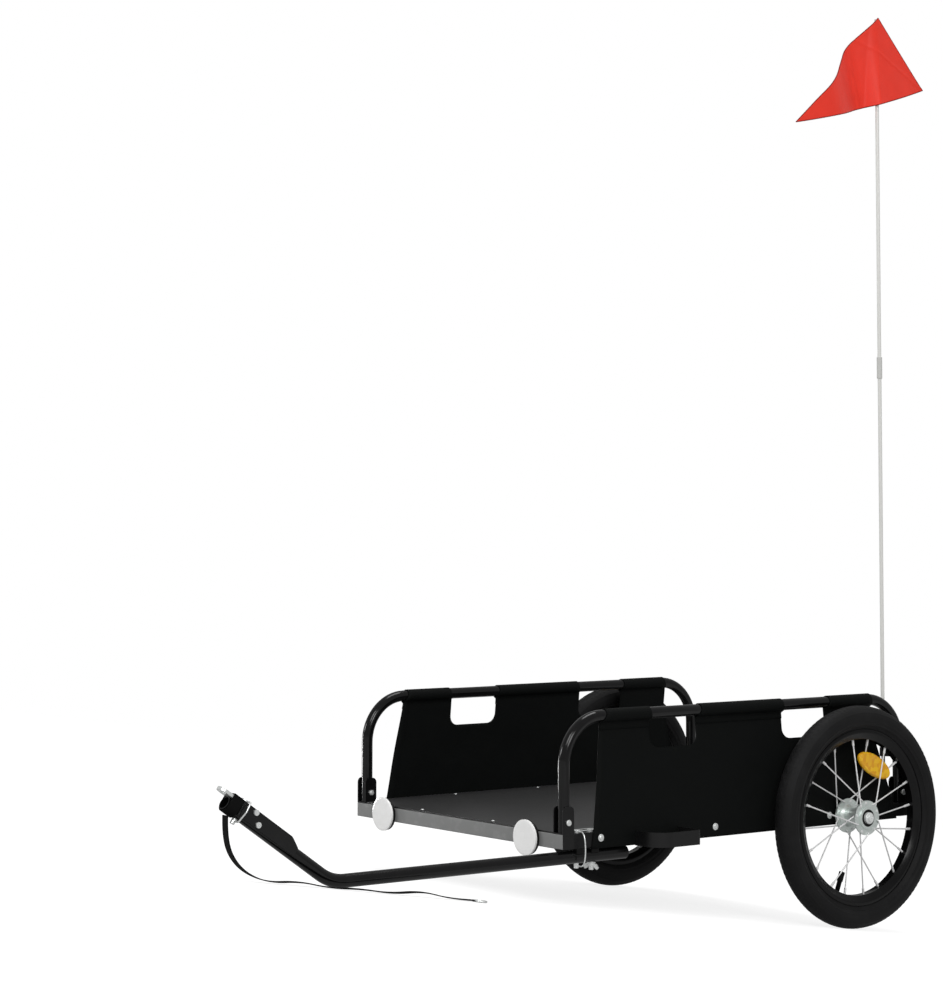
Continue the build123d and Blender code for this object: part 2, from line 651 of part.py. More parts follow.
def lock_pin_bail():
    """The wire from the lock pin's head, round the outside of the rail, to the pin's foot."""
    foot = ARM_Z - ARM_R - PIN_BELOW / 2
    head_z = RAIL_TOP + BAIL_R + 3 * SEAT_GAP
    y = -LOCK_PIN_PLACE
    out = HALF_WIDTH + BAIL_REACH / 2
    points = [(RAIL_X + PIN_HEAD_R + HOLE_GAP, y, head_z), (out, y, head_z - 1),
              (out + 3, y, (head_z + foot) / 2), (HALF_WIDTH, y, foot),
              (RAIL_X + PIN_R + HOLE_GAP, y, foot)]
    return bent_tube(points, 4, 2 * BAIL_R)


def pivot_bolt():
    """The hexagon bolt that the tow arm would swing about."""
    foot = ARM_Z - ARM_R - WING_HUB - 6
    shank = Pos(RAIL_X, -PIVOT_PLACE, foot) * Cylinder(
        PIN_R, RAIL_TOP - foot, align=(Align.CENTER, Align.CENTER, Align.MIN))
    head = extrude(Plane.XY.offset(RAIL_TOP) * Pos(RAIL_X, -PIVOT_PLACE)
                   * RegularPolygon(BOLT_HEAD_R, 6), amount=PIN_HEAD)
    return shank + head


def wing_nut():
    """The wing nut under the arm: a coned hub with two rounded wings."""
    top = ARM_Z - ARM_R - SEAT_GAP
    hub_part = Pos(RAIL_X, -PIVOT_PLACE, top) * Rot(X=180) * Cone(
        WING_HUB_R + 1.5, WING_HUB_R, WING_HUB, align=(Align.CENTER, Align.CENTER, Align.MIN))
    blade = Polyline((WING_HUB_R - 2, -1), (WING_SPAN / 2 - 4, -3), (WING_SPAN / 2, -9),
                     (WING_SPAN / 2 - 3, -12), (WING_SPAN / 2 - 7, -10), (WING_HUB_R - 2, -6),
                     close=True)
    wing = extrude(Plane.XZ * make_face(blade), amount=WING_THICK / 2, both=True)
    wings = [Pos(RAIL_X, -PIVOT_PLACE, top) * Rot(Z=turn) * wing for turn in (15, 195)]
    return hub_part + wings - upright_hole(RAIL_X, -PIVOT_PLACE, PIN_R + HOLE_GAP)


# Hitch


def hitch_channel():
    """The inverted channel over the arm's nose, with its rear corners cut off."""
    inner = ARM_R + HOLE_GAP
    top = ARM_R + HOLE_GAP + TONGUE_THICK + HOLE_GAP + CHANNEL_WALL
    side = make_face(Polyline(
        (CHANNEL_REAR, -CHANNEL_SKIRT), (CHANNEL_FRONT, -CHANNEL_SKIRT), (CHANNEL_FRONT, top),
        (CHANNEL_REAR + CHANNEL_CHAMFER, top), (CHANNEL_REAR, top - CHANNEL_CHAMFER / 2),
        close=True))
    block = extrude(Plane.XZ * side, amount=inner + CHANNEL_WALL, both=True)
    block = fillet(block.edges().filter_by(Axis.X).group_by(Axis.Z)[-1], CHANNEL_CORNER)
    length = CHANNEL_FRONT - CHANNEL_REAR + 2
    hollow = Pos((CHANNEL_FRONT + CHANNEL_REAR) / 2, 0, top - CHANNEL_WALL - ARM_D) * Box(
        length, 2 * inner, 2 * ARM_D)
    hollow = fillet(hollow.edges().filter_by(Axis.X).group_by(Axis.Z)[-1],
                    CHANNEL_CORNER - CHANNEL_WALL)
    channel = nose_frame() * (block - hollow)
    channel -= nose_upright_hole(HITCH_PIN_PLACE, PIN_R + HOLE_GAP)
    channel -= nose_cross_hole(HITCH_BOLTS[0], bolt_heights()[0], HITCH_BOLT_R + HOLE_GAP)
    return channel - nose_cross_hole(HITCH_BOLTS[1], 0, HITCH_BOLT_R + HOLE_GAP)


def bolt_heights():
    """Heights of the two cross bolts: one rides over the tube, one goes through it."""
    return (ARM_R + HOLE_GAP + TONGUE_THICK / 2, 0.0)


def hitch_bolts():
    """The two bolts across the channel."""
    half = ARM_R + HOLE_GAP + CHANNEL_WALL
    bolts = []
    for place, height in zip(HITCH_BOLTS, bolt_heights()):
        shank = Pos(place, 0, height) * Rot(X=90) * Cylinder(HITCH_BOLT_R, 2 * half + 6)
        head = Pos(place, half + HITCH_BOLT_HEAD / 2, height) * Rot(X=90) * Cylinder(
            HITCH_BOLT_HEAD_R, HITCH_BOLT_HEAD)
        nut = Pos(place, -half, height) * Rot(X=90) * extrude(
            RegularPolygon(HITCH_BOLT_HEAD_R, 6), amount=HITCH_BOLT_HEAD)
        bolts.append(nose_frame() * (shank + head + nut))
    return bolts


def hitch_tongue():
    """The flat bar between channel and tube whose rounded nose holds the coupling's eye."""
    half = ARM_R
    start = TONGUE_REAR
    end = TONGUE_FRONT
    plate = Pos((start + end - half) / 2, 0) * Rectangle(end - half - start, 2 * half)
    plate += Pos(end - half, 0) * Circle(half)
    plate -= Pos(end - half, 0) * Circle(TONGUE_EYE_R)
    plate -= Pos(HITCH_PIN_PLACE, 0) * Circle(PIN_R + HOLE_GAP)
    foot = ARM_R + HOLE_GAP / 2
    return nose_frame() * Pos(0, 0, foot) * extrude(plate, amount=TONGUE_THICK)


def hitch_pin():
    """The pin that locks the tongue in the channel."""
    top = ARM_R + HOLE_GAP + TONGUE_THICK + HOLE_GAP + CHANNEL_WALL
    foot = -ARM_R - PIN_BELOW
    bottom = (Align.CENTER, Align.CENTER, Align.MIN)
    shank = Pos(HITCH_PIN_PLACE, 0, foot) * Cylinder(PIN_R, top - foot, align=bottom)
    head = Pos(HITCH_PIN_PLACE, 0, top) * Cylinder(PIN_HEAD_R - 1, PIN_HEAD, align=bottom)
    return nose_frame() * (shank + head)


def hitch_pin_bail():
    """The wire from the hitch pin's head, round the left of the channel, to the pin's foot."""
    top = ARM_R + 2 * HOLE_GAP + TONGUE_THICK + CHANNEL_WALL + PIN_HEAD / 2
    foot = -ARM_R - PIN_BELOW / 2
    out = ARM_R + CHANNEL_WALL + 6
    points = [(HITCH_PIN_PLACE, PIN_HEAD_R - 1 + HOLE_GAP, top), (HITCH_PIN_PLACE, out, top - 1),
              (HITCH_PIN_PLACE, out + 2, (top + foot) / 2), (HITCH_PIN_PLACE, out - 5, foot),
              (HITCH_PIN_PLACE, PIN_R + HOLE_GAP, foot)]
    return nose_frame() * bent_tube(points, 3, 2 * BAIL_R)


def strap_loop():
    """The sewn loop of webbing round the arm's nose and the tongue on it."""
    inner = ARM_R + SEAT_GAP
    top = ARM_R + HOLE_GAP + TONGUE_THICK + SEAT_GAP
    opening = Circle(inner) + Pos(0, top / 2) * Rectangle(2 * inner, top)
    outer_r = inner + STRAP_THICK
    outer = Circle(outer_r) + Pos(0, (top + STRAP_THICK) / 2) * Rectangle(
        2 * outer_r, top + STRAP_THICK)
    frame = nose_frame()
    section = Plane(origin=frame.origin, x_dir=frame.y_dir, z_dir=frame.x_dir)
    band = extrude(section.offset(STRAP_LOOP_PLACE - STRAP_WIDTH / 2) * (outer - opening),
                   amount=STRAP_WIDTH)
    return band


# Reflectors on the end rails


def lamp_base(face_y, outward):
    """A round dark backing on an end rail."""
    disc = Cylinder(LAMP_R - 1, LAMP_BASE, align=(Align.CENTER, Align.CENTER, Align.MIN))
    return Pos(LAMP_PLACE, face_y, AXLE_Z) * Rot(X=90 if outward < 0 else -90) * disc


def lamp_lens(face_y, outward):
    """A domed round lens on its backing."""
    dome_r = (LAMP_R ** 2 + LAMP_LENS ** 2) / (2 * LAMP_LENS)
    disc = Cylinder(LAMP_R, LAMP_LENS, align=(Align.CENTER, Align.CENTER, Align.MIN))
    dome = Pos(0, 0, 2 + LAMP_LENS - dome_r * 1.6) * Sphere(dome_r * 1.6)
    lens = disc & dome
    return Pos(LAMP_PLACE, face_y + outward * LAMP_BASE, AXLE_Z) * Rot(
        X=90 if outward < 0 else -90) * lens


# Flag


def pole(start, end):
    """A stretch of the flag pole between two heights."""
    return rod((POLE_X, POLE_PLACE, start), (POLE_X, POLE_PLACE, end), POLE_R)


def ferrule():
    """The metal sleeve that joins the two lengths of the pole."""
    ring = Circle(FERRULE_R) - Circle(POLE_R + HOLE_GAP)
    start = AXLE_Z + POLE_SPLIT - FERRULE_LENGTH / 2
    return extrude(Plane.XY.offset(start) * Pos(POLE_X, POLE_PLACE) * ring, amount=FERRULE_LENGTH)


def flag_run(place):
    """The flag's line seen from above: flat behind the pole, then a fold inboard and a swell."""
    past = 5  # beyond the flag's outline at both ends
    points = [(place, POLE_PLACE + FLAG_REAR + past), (place, POLE_PLACE - FLAG_FOLD_START),
              (place - FLAG_FOLD, POLE_PLACE - FLAG_FOLD_PLACE),
              (place + FLAG_SWELL, POLE_PLACE - FLAG_SWELL_PLACE),
              (place, POLE_PLACE - FLAG_TIP - past)]
    return FilletPolyline(*points, radius=[FLAG_SWELL_R, FLAG_FOLD_R, FLAG_SWELL_R])


def flag():
    """The pennant: a sleeve that is closed over the pole's tip, and a three-cornered sheet."""
    top = AXLE_Z + POLE_TOP + SEAT_GAP
    inner_r = POLE_R + SEAT_GAP
    outer_r = inner_r + CLOTH
    sleeve = Pos(POLE_X, POLE_PLACE, top - FLAG_SLEEVE) * Cylinder(
        outer_r, FLAG_SLEEVE + CLOTH, align=(Align.CENTER, Align.CENTER, Align.MIN))
    sheet = make_face(Polyline(
        (POLE_PLACE, top + CLOTH), (POLE_PLACE + FLAG_REAR, top - FLAG_REAR_DROP),
        (POLE_PLACE - FLAG_TIP, top - FLAG_TIP_DROP), close=True))
    ribbon = trace(flag_run(POLE_X + inner_r + CLOTH / 2), line_width=CLOTH)
    leaf = extrude(Plane.XY.offset(top - FLAG_TIP_DROP - CLOTH) * ribbon,
                   amount=FLAG_TIP_DROP + 3 * CLOTH)
    leaf &= extrude(Plane.YZ.offset(POLE_X) * sheet, amount=FLAG_FOLD + FLAG_SWELL, both=True)
    bore = Pos(POLE_X, POLE_PLACE, top - 2 * FLAG_SLEEVE) * Cylinder(
        inner_r, 2 * FLAG_SLEEVE, align=(Align.CENTER, Align.CENTER, Align.MIN))
    return sleeve + leaf - bore


def pole_holders():
    """A clip from the rear post to the pole, and a cup on the side rail for its foot."""
    post = Pos(RAIL_X, HOOP_REAR_Y) * Circle(HOOP_D / 2 + HOLE_GAP)
    pole_hole = Pos(POLE_X, POLE_PLACE) * Circle(POLE_R + HOLE_GAP)
    pole_ring = (Pos(POLE_X, POLE_PLACE) * Circle(CUP_R)).edges()
    clip = make_hull((Pos(RAIL_X, HOOP_REAR_Y) * Circle(HOOP_D / 2 + CLIP_WALL)).edges()
                     + pole_ring) - post - pole_hole
    ring = extrude(Plane.XY.offset(AXLE_Z + CLIP_PLACE) * clip, amount=CLIP_HEIGHT)
    block = make_hull((Pos(POLE_X + CUP_REACH, POLE_PLACE) * Circle(CUP_R)).edges() + pole_ring)
    cup = extrude(Plane.XY.offset(RAIL_TOP) * block, amount=CUP_HEIGHT)
    cup -= extrude(Plane.XY.offset(RAIL_TOP + CUP_FLOOR) * pole_hole, amount=CUP_HEIGHT)
    return [ring, cup]


# Parking: the turn about the axle line that brings the bend of the tow arm to the floor


def park_angle():
    """Degrees of nose-down turn at which the underside of the arm's bend meets Z = 0."""
    ahead = ARM_BEND_PLACE - ARM_BEND_R * tan(radians(ARM_RISE) / 2)
    above = ARM_BEND_R - ARM_DROP
    reach = hypot(ahead, above)
    return degrees(acos((ARM_BEND_R + ARM_R - AXLE_Z) / reach) - atan2(ahead, above))


PARK = Pos(0, 0, AXLE_Z) * Rot(X=park_angle()) * Pos(0, 0, -AXLE_Z)


def strap_exit():
    """The middle of the underside of the strap's loop, as parked."""
    frame = nose_frame()
    depth = ARM_R + SEAT_GAP + STRAP_THICK
    return (PARK * Pos(frame.from_local_coords(Vector(STRAP_LOOP_PLACE, 0, -depth)))).position


def strap_route():
    """The strap's run in its own upright plane: distance along the floor, and height."""
    heading = radians(STRAP_HEADING)
    behind = (STRAP_THICK * cos(heading) + STRAP_WIDTH * abs(sin(heading))) / 2
    start = strap_exit().Z - behind * tan(radians(ARM_RISE - park_angle())) - SEAT_GAP
    rest = STRAP_THICK / 2 + SEAT_GAP
    return [(0, start), (3, 0.72 * start), (16, 0.38 * start), (44, 0.13 * start),
            (86, rest), (138, rest + 6), (190, rest), (244, rest + 3), (300, rest),
            (354, rest + 8), (405, rest), (446, rest + 1)]


def strap_path():
    """The route with each corner rounded by the largest arc that its runs allow."""
    route = strap_route()
    radii = []
    for before, corner, after in zip(route, route[1:], route[2:]):
        run_in = Vector(corner[0] - before[0], corner[1] - before[1])
        run_out = Vector(after[0] - corner[0], after[1] - corner[1])
        turn = radians(run_in.get_angle(run_out))
        radii.append(0.45 * min(run_in.length, run_out.length) / tan(turn / 2))
    return FilletPolyline(*route, radius=radii), radii


def strap_frame():
    """The upright plane that the strap hangs and lies in: x along the floor, y up."""
    heading = radians(STRAP_HEADING)
    exit_point = strap_exit()
    along = (sin(heading), cos(heading), 0)
    return Plane(origin=(exit_point.X, exit_point.Y, 0), x_dir=along,
                 z_dir=(cos(heading), -sin(heading), 0))


def safety_strap():
    """Flat webbing that hangs from the loop and lies on the floor."""
    path, _ = strap_path()
    ribbon = trace(path, line_width=STRAP_THICK)
    return extrude(strap_frame() * ribbon, amount=STRAP_WIDTH / 2, both=True)


def strap_ring():
    """The wire ring at the strap's end, flat on the floor."""
    end = strap_route()[-1]
    frame = strap_frame()
    middle = frame.from_local_coords(Vector(end[0] + SEAT_GAP + STRAP_RING_R + STRAP_RING_WIRE_R,
                                            STRAP_RING_WIRE_R, 0))
    return Pos(middle) * Torus(STRAP_RING_R, STRAP_RING_WIRE_R)


def level_nodes():
    """Every piece that turns with the trailer, by node name, in the level position."""
    nodes = {
        "front_rail": end_rail(-FRAME_FRONT + RAIL / 2),
        "rear_rail": end_rail(FRAME_REAR - RAIL / 2),
        "cross_rails": cross_rails(),
        "axle_tube": axle_tube(),
        "deck_panel": deck_panel(),
    }
    left_rail = side_rail()
    nodes["side_rail_right"] = mirror(left_rail, about=Plane.YZ)
    for place in (LOCK_PIN_PLACE, PIVOT_PLACE):
        left_rail -= upright_hole(RAIL_X, -place, PIN_R + HOLE_GAP)
    nodes["side_rail_left"] = left_rail
    nodes["side_fabric_left"] = side_fabric(FABRIC_REAR_LEFT)
    nodes["side_fabric_right"] = mirror(side_fabric(FABRIC_REAR_RIGHT), about=Plane.YZ)
    pairs = {"side_hoop": side_hoop(), "axle_socket": axle_socket(), "axle": axle()}
    for name, piece in pairs.items():
        nodes[name + "_left"], nodes[name + "_right"] = at_left_and_right(piece)
    shared = {
        "hoop_brackets": hoop_brackets(),
        "hoop_bolts": hoop_bolts(),
        "side_guards": [side_guard()],
        "front_reflector_bases": [lamp_base(-FRAME_FRONT, -1)],
        "front_reflectors": [lamp_lens(-FRAME_FRONT, -1)],
        "rear_reflector_bases": [lamp_base(FRAME_REAR, 1)],
        "rear_reflectors": [lamp_lens(FRAME_REAR, 1)],
    }
    for name, pieces in shared.items():
        nodes[name] = [side for piece in pieces for side in at_left_and_right(piece)]
    nodes.update({
        "tow_arm": tow_arm(), "tow_arm_pads": arm_pads(), "lock_pin": lock_pin(),
        "lock_pin_bail": lock_pin_bail(), "pivot_bolt": pivot_bolt(), "wing_nut": wing_nut(),
        "hitch_channel": hitch_channel(), "hitch_bolts": hitch_bolts(),
        "hitch_tongue": hitch_tongue(), "hitch_pin": hitch_pin(),
        "hitch_pin_bail": hitch_pin_bail(), "strap_loop": strap_loop(),
        "flag_pole_lower": pole(POLE_FOOT, AXLE_Z + POLE_SPLIT),
        "flag_pole_upper": pole(AXLE_Z + POLE_SPLIT + SEAT_GAP, AXLE_Z + POLE_TOP),
        "flag_pole_ferrule": ferrule(), "flag": flag(), "flag_pole_holders": pole_holders(),
    })
    hub_place = Pos(WHEEL_X, 0, AXLE_Z)
    for name, make in WHEEL_PIECES.items():
        made = make()
        pieces = made if isinstance(made, list) else [made]
        placed = [hub_place * piece for piece in pieces]
        nodes["left_wheel_" + name] = placed
        nodes["right_wheel_" + name] = [mirror(piece, about=Plane.YZ) for piece in placed]
    return nodes


def gather(pieces):
    """One compound of a node's solids."""
    listed = pieces if isinstance(pieces, list) else [pieces]
    return Compound([solid for piece in listed for solid in piece.solids()])


def main():
    """Build, park, centre and write every node."""
    os.makedirs("parts", exist_ok=True)
    parked = {name: PARK * gather(pieces) for name, pieces in level_nodes().items()}
    whole = Compound(list(parked.values())).bounding_box()
    centre = Pos(-whole.center().X, -whole.center().Y, 0)
    parked["safety_strap"] = gather(safety_strap())
    parked["strap_ring"] = gather(strap_ring())
    for name, node in parked.items():
        export_step(centre * node, os.path.join("parts", name + ".step"))
    _, radii = strap_path()
    print("park angle", round(park_angle(), 4), "axle y", round(centre.position.Y, 3),
          "box", whole.size, "centre x", round(whole.center().X, 4), "foot", round(whole.min.Z, 4))
    print("strap length", round(strap_path()[0].length, 1), "radii", [round(r, 1) for r in radii])
    print("nodes", len(parked))


main()
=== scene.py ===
"""Looks of a two-wheeled bicycle cargo trailer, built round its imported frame.

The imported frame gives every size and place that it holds.  What is made here is the finish of each
surface, and the pieces that are soft, fine or repeated: cloth sides, flag, webbing, tyre treads,
spokes, rivets, screws and stitches.  Places are worked out with the trailer level, its axle line
along X, and are then parked nose down with the same turn as the frame.  Lengths are metres.
"""

from __future__ import annotations

import json
import logging
import math
from dataclasses import dataclass, field
from enum import Enum
from typing import NamedTuple, Optional, Sequence, Union

import bmesh
import bpy
from mathutils import Matrix, Vector

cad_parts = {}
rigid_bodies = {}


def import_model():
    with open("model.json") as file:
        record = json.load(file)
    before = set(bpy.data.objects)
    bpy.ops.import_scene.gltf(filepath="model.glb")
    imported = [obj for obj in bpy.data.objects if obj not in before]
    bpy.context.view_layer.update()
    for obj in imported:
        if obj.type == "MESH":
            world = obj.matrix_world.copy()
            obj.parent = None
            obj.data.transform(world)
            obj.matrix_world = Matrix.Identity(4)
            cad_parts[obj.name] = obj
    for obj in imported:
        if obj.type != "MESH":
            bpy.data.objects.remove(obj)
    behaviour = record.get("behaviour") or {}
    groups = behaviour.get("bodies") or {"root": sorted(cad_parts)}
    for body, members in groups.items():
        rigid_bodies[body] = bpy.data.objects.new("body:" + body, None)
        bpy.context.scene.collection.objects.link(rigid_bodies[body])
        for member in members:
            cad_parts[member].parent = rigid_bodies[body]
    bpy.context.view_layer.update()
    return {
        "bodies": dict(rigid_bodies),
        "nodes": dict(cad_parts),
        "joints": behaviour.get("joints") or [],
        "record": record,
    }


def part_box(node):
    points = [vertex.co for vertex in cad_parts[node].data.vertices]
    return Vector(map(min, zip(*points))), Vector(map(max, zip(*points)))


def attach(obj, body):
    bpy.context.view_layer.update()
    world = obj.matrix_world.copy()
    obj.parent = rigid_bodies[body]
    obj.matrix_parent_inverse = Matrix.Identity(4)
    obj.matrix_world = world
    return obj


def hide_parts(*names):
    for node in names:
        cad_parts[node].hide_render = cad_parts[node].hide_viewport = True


LOG = logging.getLogger("trailer")
Colour = tuple[float, float, float]
Point = tuple[float, float, float]
Pair = tuple[float, float]
Feed = Union[bpy.types.NodeSocket, float, Sequence[float]]
FRAME_BODY = "frame"
SHARP_EDGE = math.radians(35)


# Sums and outlines that several pieces share


def held(value: float) -> float:
    """The value, kept from 0 to 1."""
    return min(1.0, max(0.0, value))


def between(low: float, high: float, steps: int) -> list[float]:
    """Evenly spaced values from low to high, both included."""
    return [low + (high - low) * step / steps for step in range(steps + 1)]


def bell(value: float, middle: float, width: float) -> float:
    """A smooth bump of height 1 about a middle."""
    return math.exp(-((value - middle) / width) ** 2)


def both_sides(half: Sequence[Pair]) -> list[Pair]:
    """A section drawn for one side, from its middle out, with its mirror image before it."""
    return [(-across, radius) for across, radius in reversed(half[1:])] + list(half)


def skin(rings: int, count: int, start: int = 0, looped: bool = False) -> list[tuple[int, ...]]:
    """Faces between rings of vertices that follow one another.

    Args:
        rings: How many rings there are.
        count: The vertices in each ring.
        start: The number of the first vertex.
        looped: Whether the last ring joins the first.

    Returns:
        The faces, as vertex numbers.
    """
    faces = []
    for ring in range(rings if looped else rings - 1):
        here, there = start + ring * count, start + (ring + 1) % rings * count
        for spot in range(count):
            after = (spot + 1) % count
            faces.append((here + spot, here + after, there + after, there + spot))
    return faces


# Node trees


class Nodes:
    """A node tree under construction."""

    def __init__(self, tree: bpy.types.NodeTree) -> None:
        """Takes up a tree."""
        self.tree = tree

    def feed(self, socket: bpy.types.NodeSocket, value: Feed) -> None:
        """Links a socket to another, or gives it a value.

        Args:
            socket: The input.
            value: The output that it follows, or its value.
        """
        if isinstance(value, bpy.types.NodeSocket):
            self.tree.links.new(value, socket)
        elif socket.type == "RGBA" and len(value) == 3:
            socket.default_value = (*value, 1.0)
        else:
            socket.default_value = value

    def node(self, kind: str, inputs: dict[Union[str, int], Feed], **settings: object) -> bpy.types.Node:
        """Adds a node.

        Args:
            kind: The node's type.
            inputs: Values or links for its inputs, by name or number.
            settings: Properties of the node.

        Returns:
            The new node.
        """
        node = self.tree.nodes.new(kind)
        for name, value in settings.items():
            setattr(node, name, value)
        for key, value in inputs.items():
            self.feed(node.inputs[key], value)
        return node

    def math(self, operation: str, first: Feed, second: Feed = 0.0) -> bpy.types.NodeSocket:
        """Does one sum on one or two numbers."""
        return self.node("ShaderNodeMath", {0: first, 1: second}, operation=operation).outputs[0]

    def spread(self, value: Feed, low: float, high: float, start: float = 0.0,
               end: float = 1.0) -> bpy.types.NodeSocket:
        """Maps start..end to low..high, held at both ends."""
        inputs = {"Value": value, "From Min": start, "From Max": end, "To Min": low, "To Max": high}
        return self.node("ShaderNodeMapRange", inputs).outputs[0]

    def rays(self) -> tuple[bpy.types.NodeSocket, bpy.types.NodeSocket]:
        """Tells the rays of light apart.

        Returns:
            1 for a ray that the camera sees straight on or through a clear piece, and 1 for a mirrored one.
        """
        path = self.node("ShaderNodeLightPath", {}).outputs
        seen = self.math("MAXIMUM", path["Is Camera Ray"], path["Is Transmission Ray"])
        return seen, path["Is Glossy Ray"]


class Shader(Nodes):
    """A material under construction, with the few node patterns that the finishes share."""

    def __init__(self, name: str) -> None:
        """Starts a material with a Principled surface.

        Args:
            name: The material's name.
        """
        self.material = bpy.data.materials.new(name)
        self.material.use_nodes = True
        super().__init__(self.material.node_tree)
        self.surface = self.tree.nodes["Principled BSDF"]

    def set(self, **values: Feed) -> None:
        """Sets the surface's sockets, named with underscores for spaces."""
        for name, value in values.items():
            self.feed(self.surface.inputs[name.replace("_", " ")], value)

    def place(self, stretch: Point = (1.0, 1.0, 1.0), uv: bool = False) -> bpy.types.NodeSocket:
        """Coordinates in metres on the object, or on its UV map, with a stretch for each axis."""
        source = self.node("ShaderNodeTexCoord", {}).outputs["UV" if uv else "Object"]
        return self.node("ShaderNodeMapping", {"Vector": source, "Scale": stretch}).outputs[0]

    def noise(self, place: bpy.types.NodeSocket, lumps: float, detail: float = 3.0) -> bpy.types.NodeSocket:
        """Soft noise from 0 to 1, with the given count of lumps to the metre."""
        return self.node("ShaderNodeTexNoise", {"Vector": place, "Scale": lumps, "Detail": detail}).outputs[0]

    def mix(self, share: Feed, first: Feed, second: Feed) -> bpy.types.NodeSocket:
        """Blends two colours."""
        return self.node("ShaderNodeMix", {0: share, 6: first, 7: second}, data_type="RGBA").outputs[2]

    def bump(self, height: Feed, depth: float,
             under: Optional[bpy.types.NodeSocket] = None) -> bpy.types.NodeSocket:
        """A normal from a height from 0 to 1.

        Args:
            height: The height, as a link.
            depth: What a height of 1 stands for, in metres.
            under: A normal that this one adds to.

        Returns:
            The normal.
        """
        inputs: dict[Union[str, int], Feed] = {"Height": height, "Distance": depth, "Strength": 1.0}
        if under is not None:
            inputs["Normal"] = under
        return self.node("ShaderNodeBump", inputs).outputs[0]


# Finishes


@dataclass(frozen=True)
class Finish:
    """A finish with a name, a colour and a mean roughness."""

    name: str
    colour: Colour
    roughness: float

    def material(self) -> bpy.types.Material:
        """The finish's material, made once.

        Returns:
            The material.
        """
        made = bpy.data.materials.get(self.name)
        if made is None:
            shader = Shader(self.name)
            shader.set(Base_Color=self.colour, Roughness=self.roughness)
            self.detail(shader)
            made = shader.material
        return made

    def detail(self, shader: Shader) -> None:
        """Adds what sets this kind of finish apart."""

    def tint(self, share: float, lift: float = 0.0) -> Colour:
        """The colour times a share, plus a little white, kept within 1."""
        return tuple(min(1.0, part * share + lift) for part in self.colour)

    def dulled(self, shader: Shader, pattern: Feed, less: float, more: float) -> bpy.types.NodeSocket:
        """The roughness, which a noise pattern takes down by `less` and up by `more`."""
        return shader.spread(pattern, self.roughness - less, self.roughness + more, start=0.3, end=0.7)


@dataclass(frozen=True)
class PowderCoat(Finish):
    """Baked powder paint: faint orange peel, slight clouding of the gloss, thin dust on top.

    Where `shown` is given, only faces that look that way have the colour, and the rest have `edge`; on the
    front rail that colour is a painted grey sheen on its front face.
    """

    peel: float = 0.00006
    shine: float = 0.45
    dust: float = 0.35
    shown: Optional[Point] = None
    edge: Colour = (0.006, 0.006, 0.006)

    def detail(self, shader: Shader) -> None:
        """Adds the peel, the clouding and the dust, and the edge colour on faces turned away.

        Args:
            shader: The finish's material.
        """
        place = shader.place()
        clouds = shader.noise(place, lumps=14.0, detail=4.0)
        rough = self.dulled(shader, clouds, less=0.15 * self.dust, more=0.23 * self.dust)
        specks = shader.noise(place, lumps=60.0, detail=8.0)
        dust = shader.spread(specks, 0.0, self.dust, start=0.5, end=0.8)
        paint = shader.mix(dust, self.colour, self.tint(1.8, lift=0.004))
        # Faces turned the `shown` way get the colour and the rest get `edge`; on the front rail this puts a
        # painted grey sheen on the front face only.
        if self.shown is not None:
            normal = shader.node("ShaderNodeTexCoord", {}).outputs["Normal"]
            facing = shader.node("ShaderNodeVectorMath", {0: normal, 1: self.shown}, operation="DOT_PRODUCT")
            turned = shader.spread(facing.outputs["Value"], 0.0, 1.0, start=0.6, end=0.8)
            paint = shader.mix(turned, self.edge, paint)
        peel = shader.bump(shader.noise(place, lumps=700.0, detail=1.0), self.peel)
        shader.set(Base_Color=paint, Roughness=rough, Normal=peel, Specular_IOR_Level=self.shine)


@dataclass(frozen=True)
class Rubber(Finish):
    """Moulded rubber: dull, fine grained, a little paler where it is scuffed."""

    grains: float = 900.0

    def detail(self, shader: Shader) -> None:
        """Adds the grain and the scuffs.

        Args:
            shader: The finish's material.
        """
        place = shader.place()
        scuffs = shader.spread(shader.noise(place, lumps=22.0, detail=7.0), 0.0, 0.5, start=0.48, end=0.75)
        rough = shader.spread(scuffs, self.roughness, self.roughness + 0.14)
        grain = shader.bump(shader.noise(place, self.grains, detail=2.0), depth=0.00012)
        shader.set(Base_Color=shader.mix(scuffs, self.colour, self.tint(1.9, lift=0.003)),
                   Roughness=rough, Normal=grain, Specular_IOR_Level=0.16)


@dataclass(frozen=True)
class Plastic(Finish):
    """Moulded plastic with a spark-eroded grain."""

    def detail(self, shader: Shader) -> None:
        """Adds the grain and slight flow marks.

        Args:
            shader: The finish's material.
        """
        place = shader.place()
        flow = shader.noise(place, lumps=30.0)
        grain = shader.bump(shader.noise(place, lumps=1400.0, detail=2.0), depth=0.00005)
        shader.set(Roughness=self.dulled(shader, flow, less=0.04, more=0.06), Normal=grain,
                   Specular_IOR_Level=0.3)


@dataclass(frozen=True)
class BareMetal(Finish):
    """Plated or drawn metal, with fine lines along one axis and a mottle in its plating."""

    metal: float
    mottle: float
    lines: Point = (1.0, 1.0, 1.0)

    def detail(self, shader: Shader) -> None:
        """Adds the drawn lines and the mottle.

        Args:
            shader: The finish's material.
        """
        mottle = shader.noise(shader.place(), lumps=260.0, detail=4.0)
        patches = shader.spread(mottle, 0.0, 1.0, start=0.35, end=0.7)
        plate = shader.mix(patches, self.tint(1 - 2.5 * self.mottle), self.colour)
        lines = shader.noise(shader.place(self.lines), lumps=900.0, detail=2.0)
        rough = shader.math("ADD", shader.spread(lines, -0.05, 0.07, start=0.3, end=0.7), self.roughness)
        shader.set(Metallic=self.metal, Base_Color=plate, Roughness=rough,
                   Normal=shader.bump(lines, depth=0.00002))


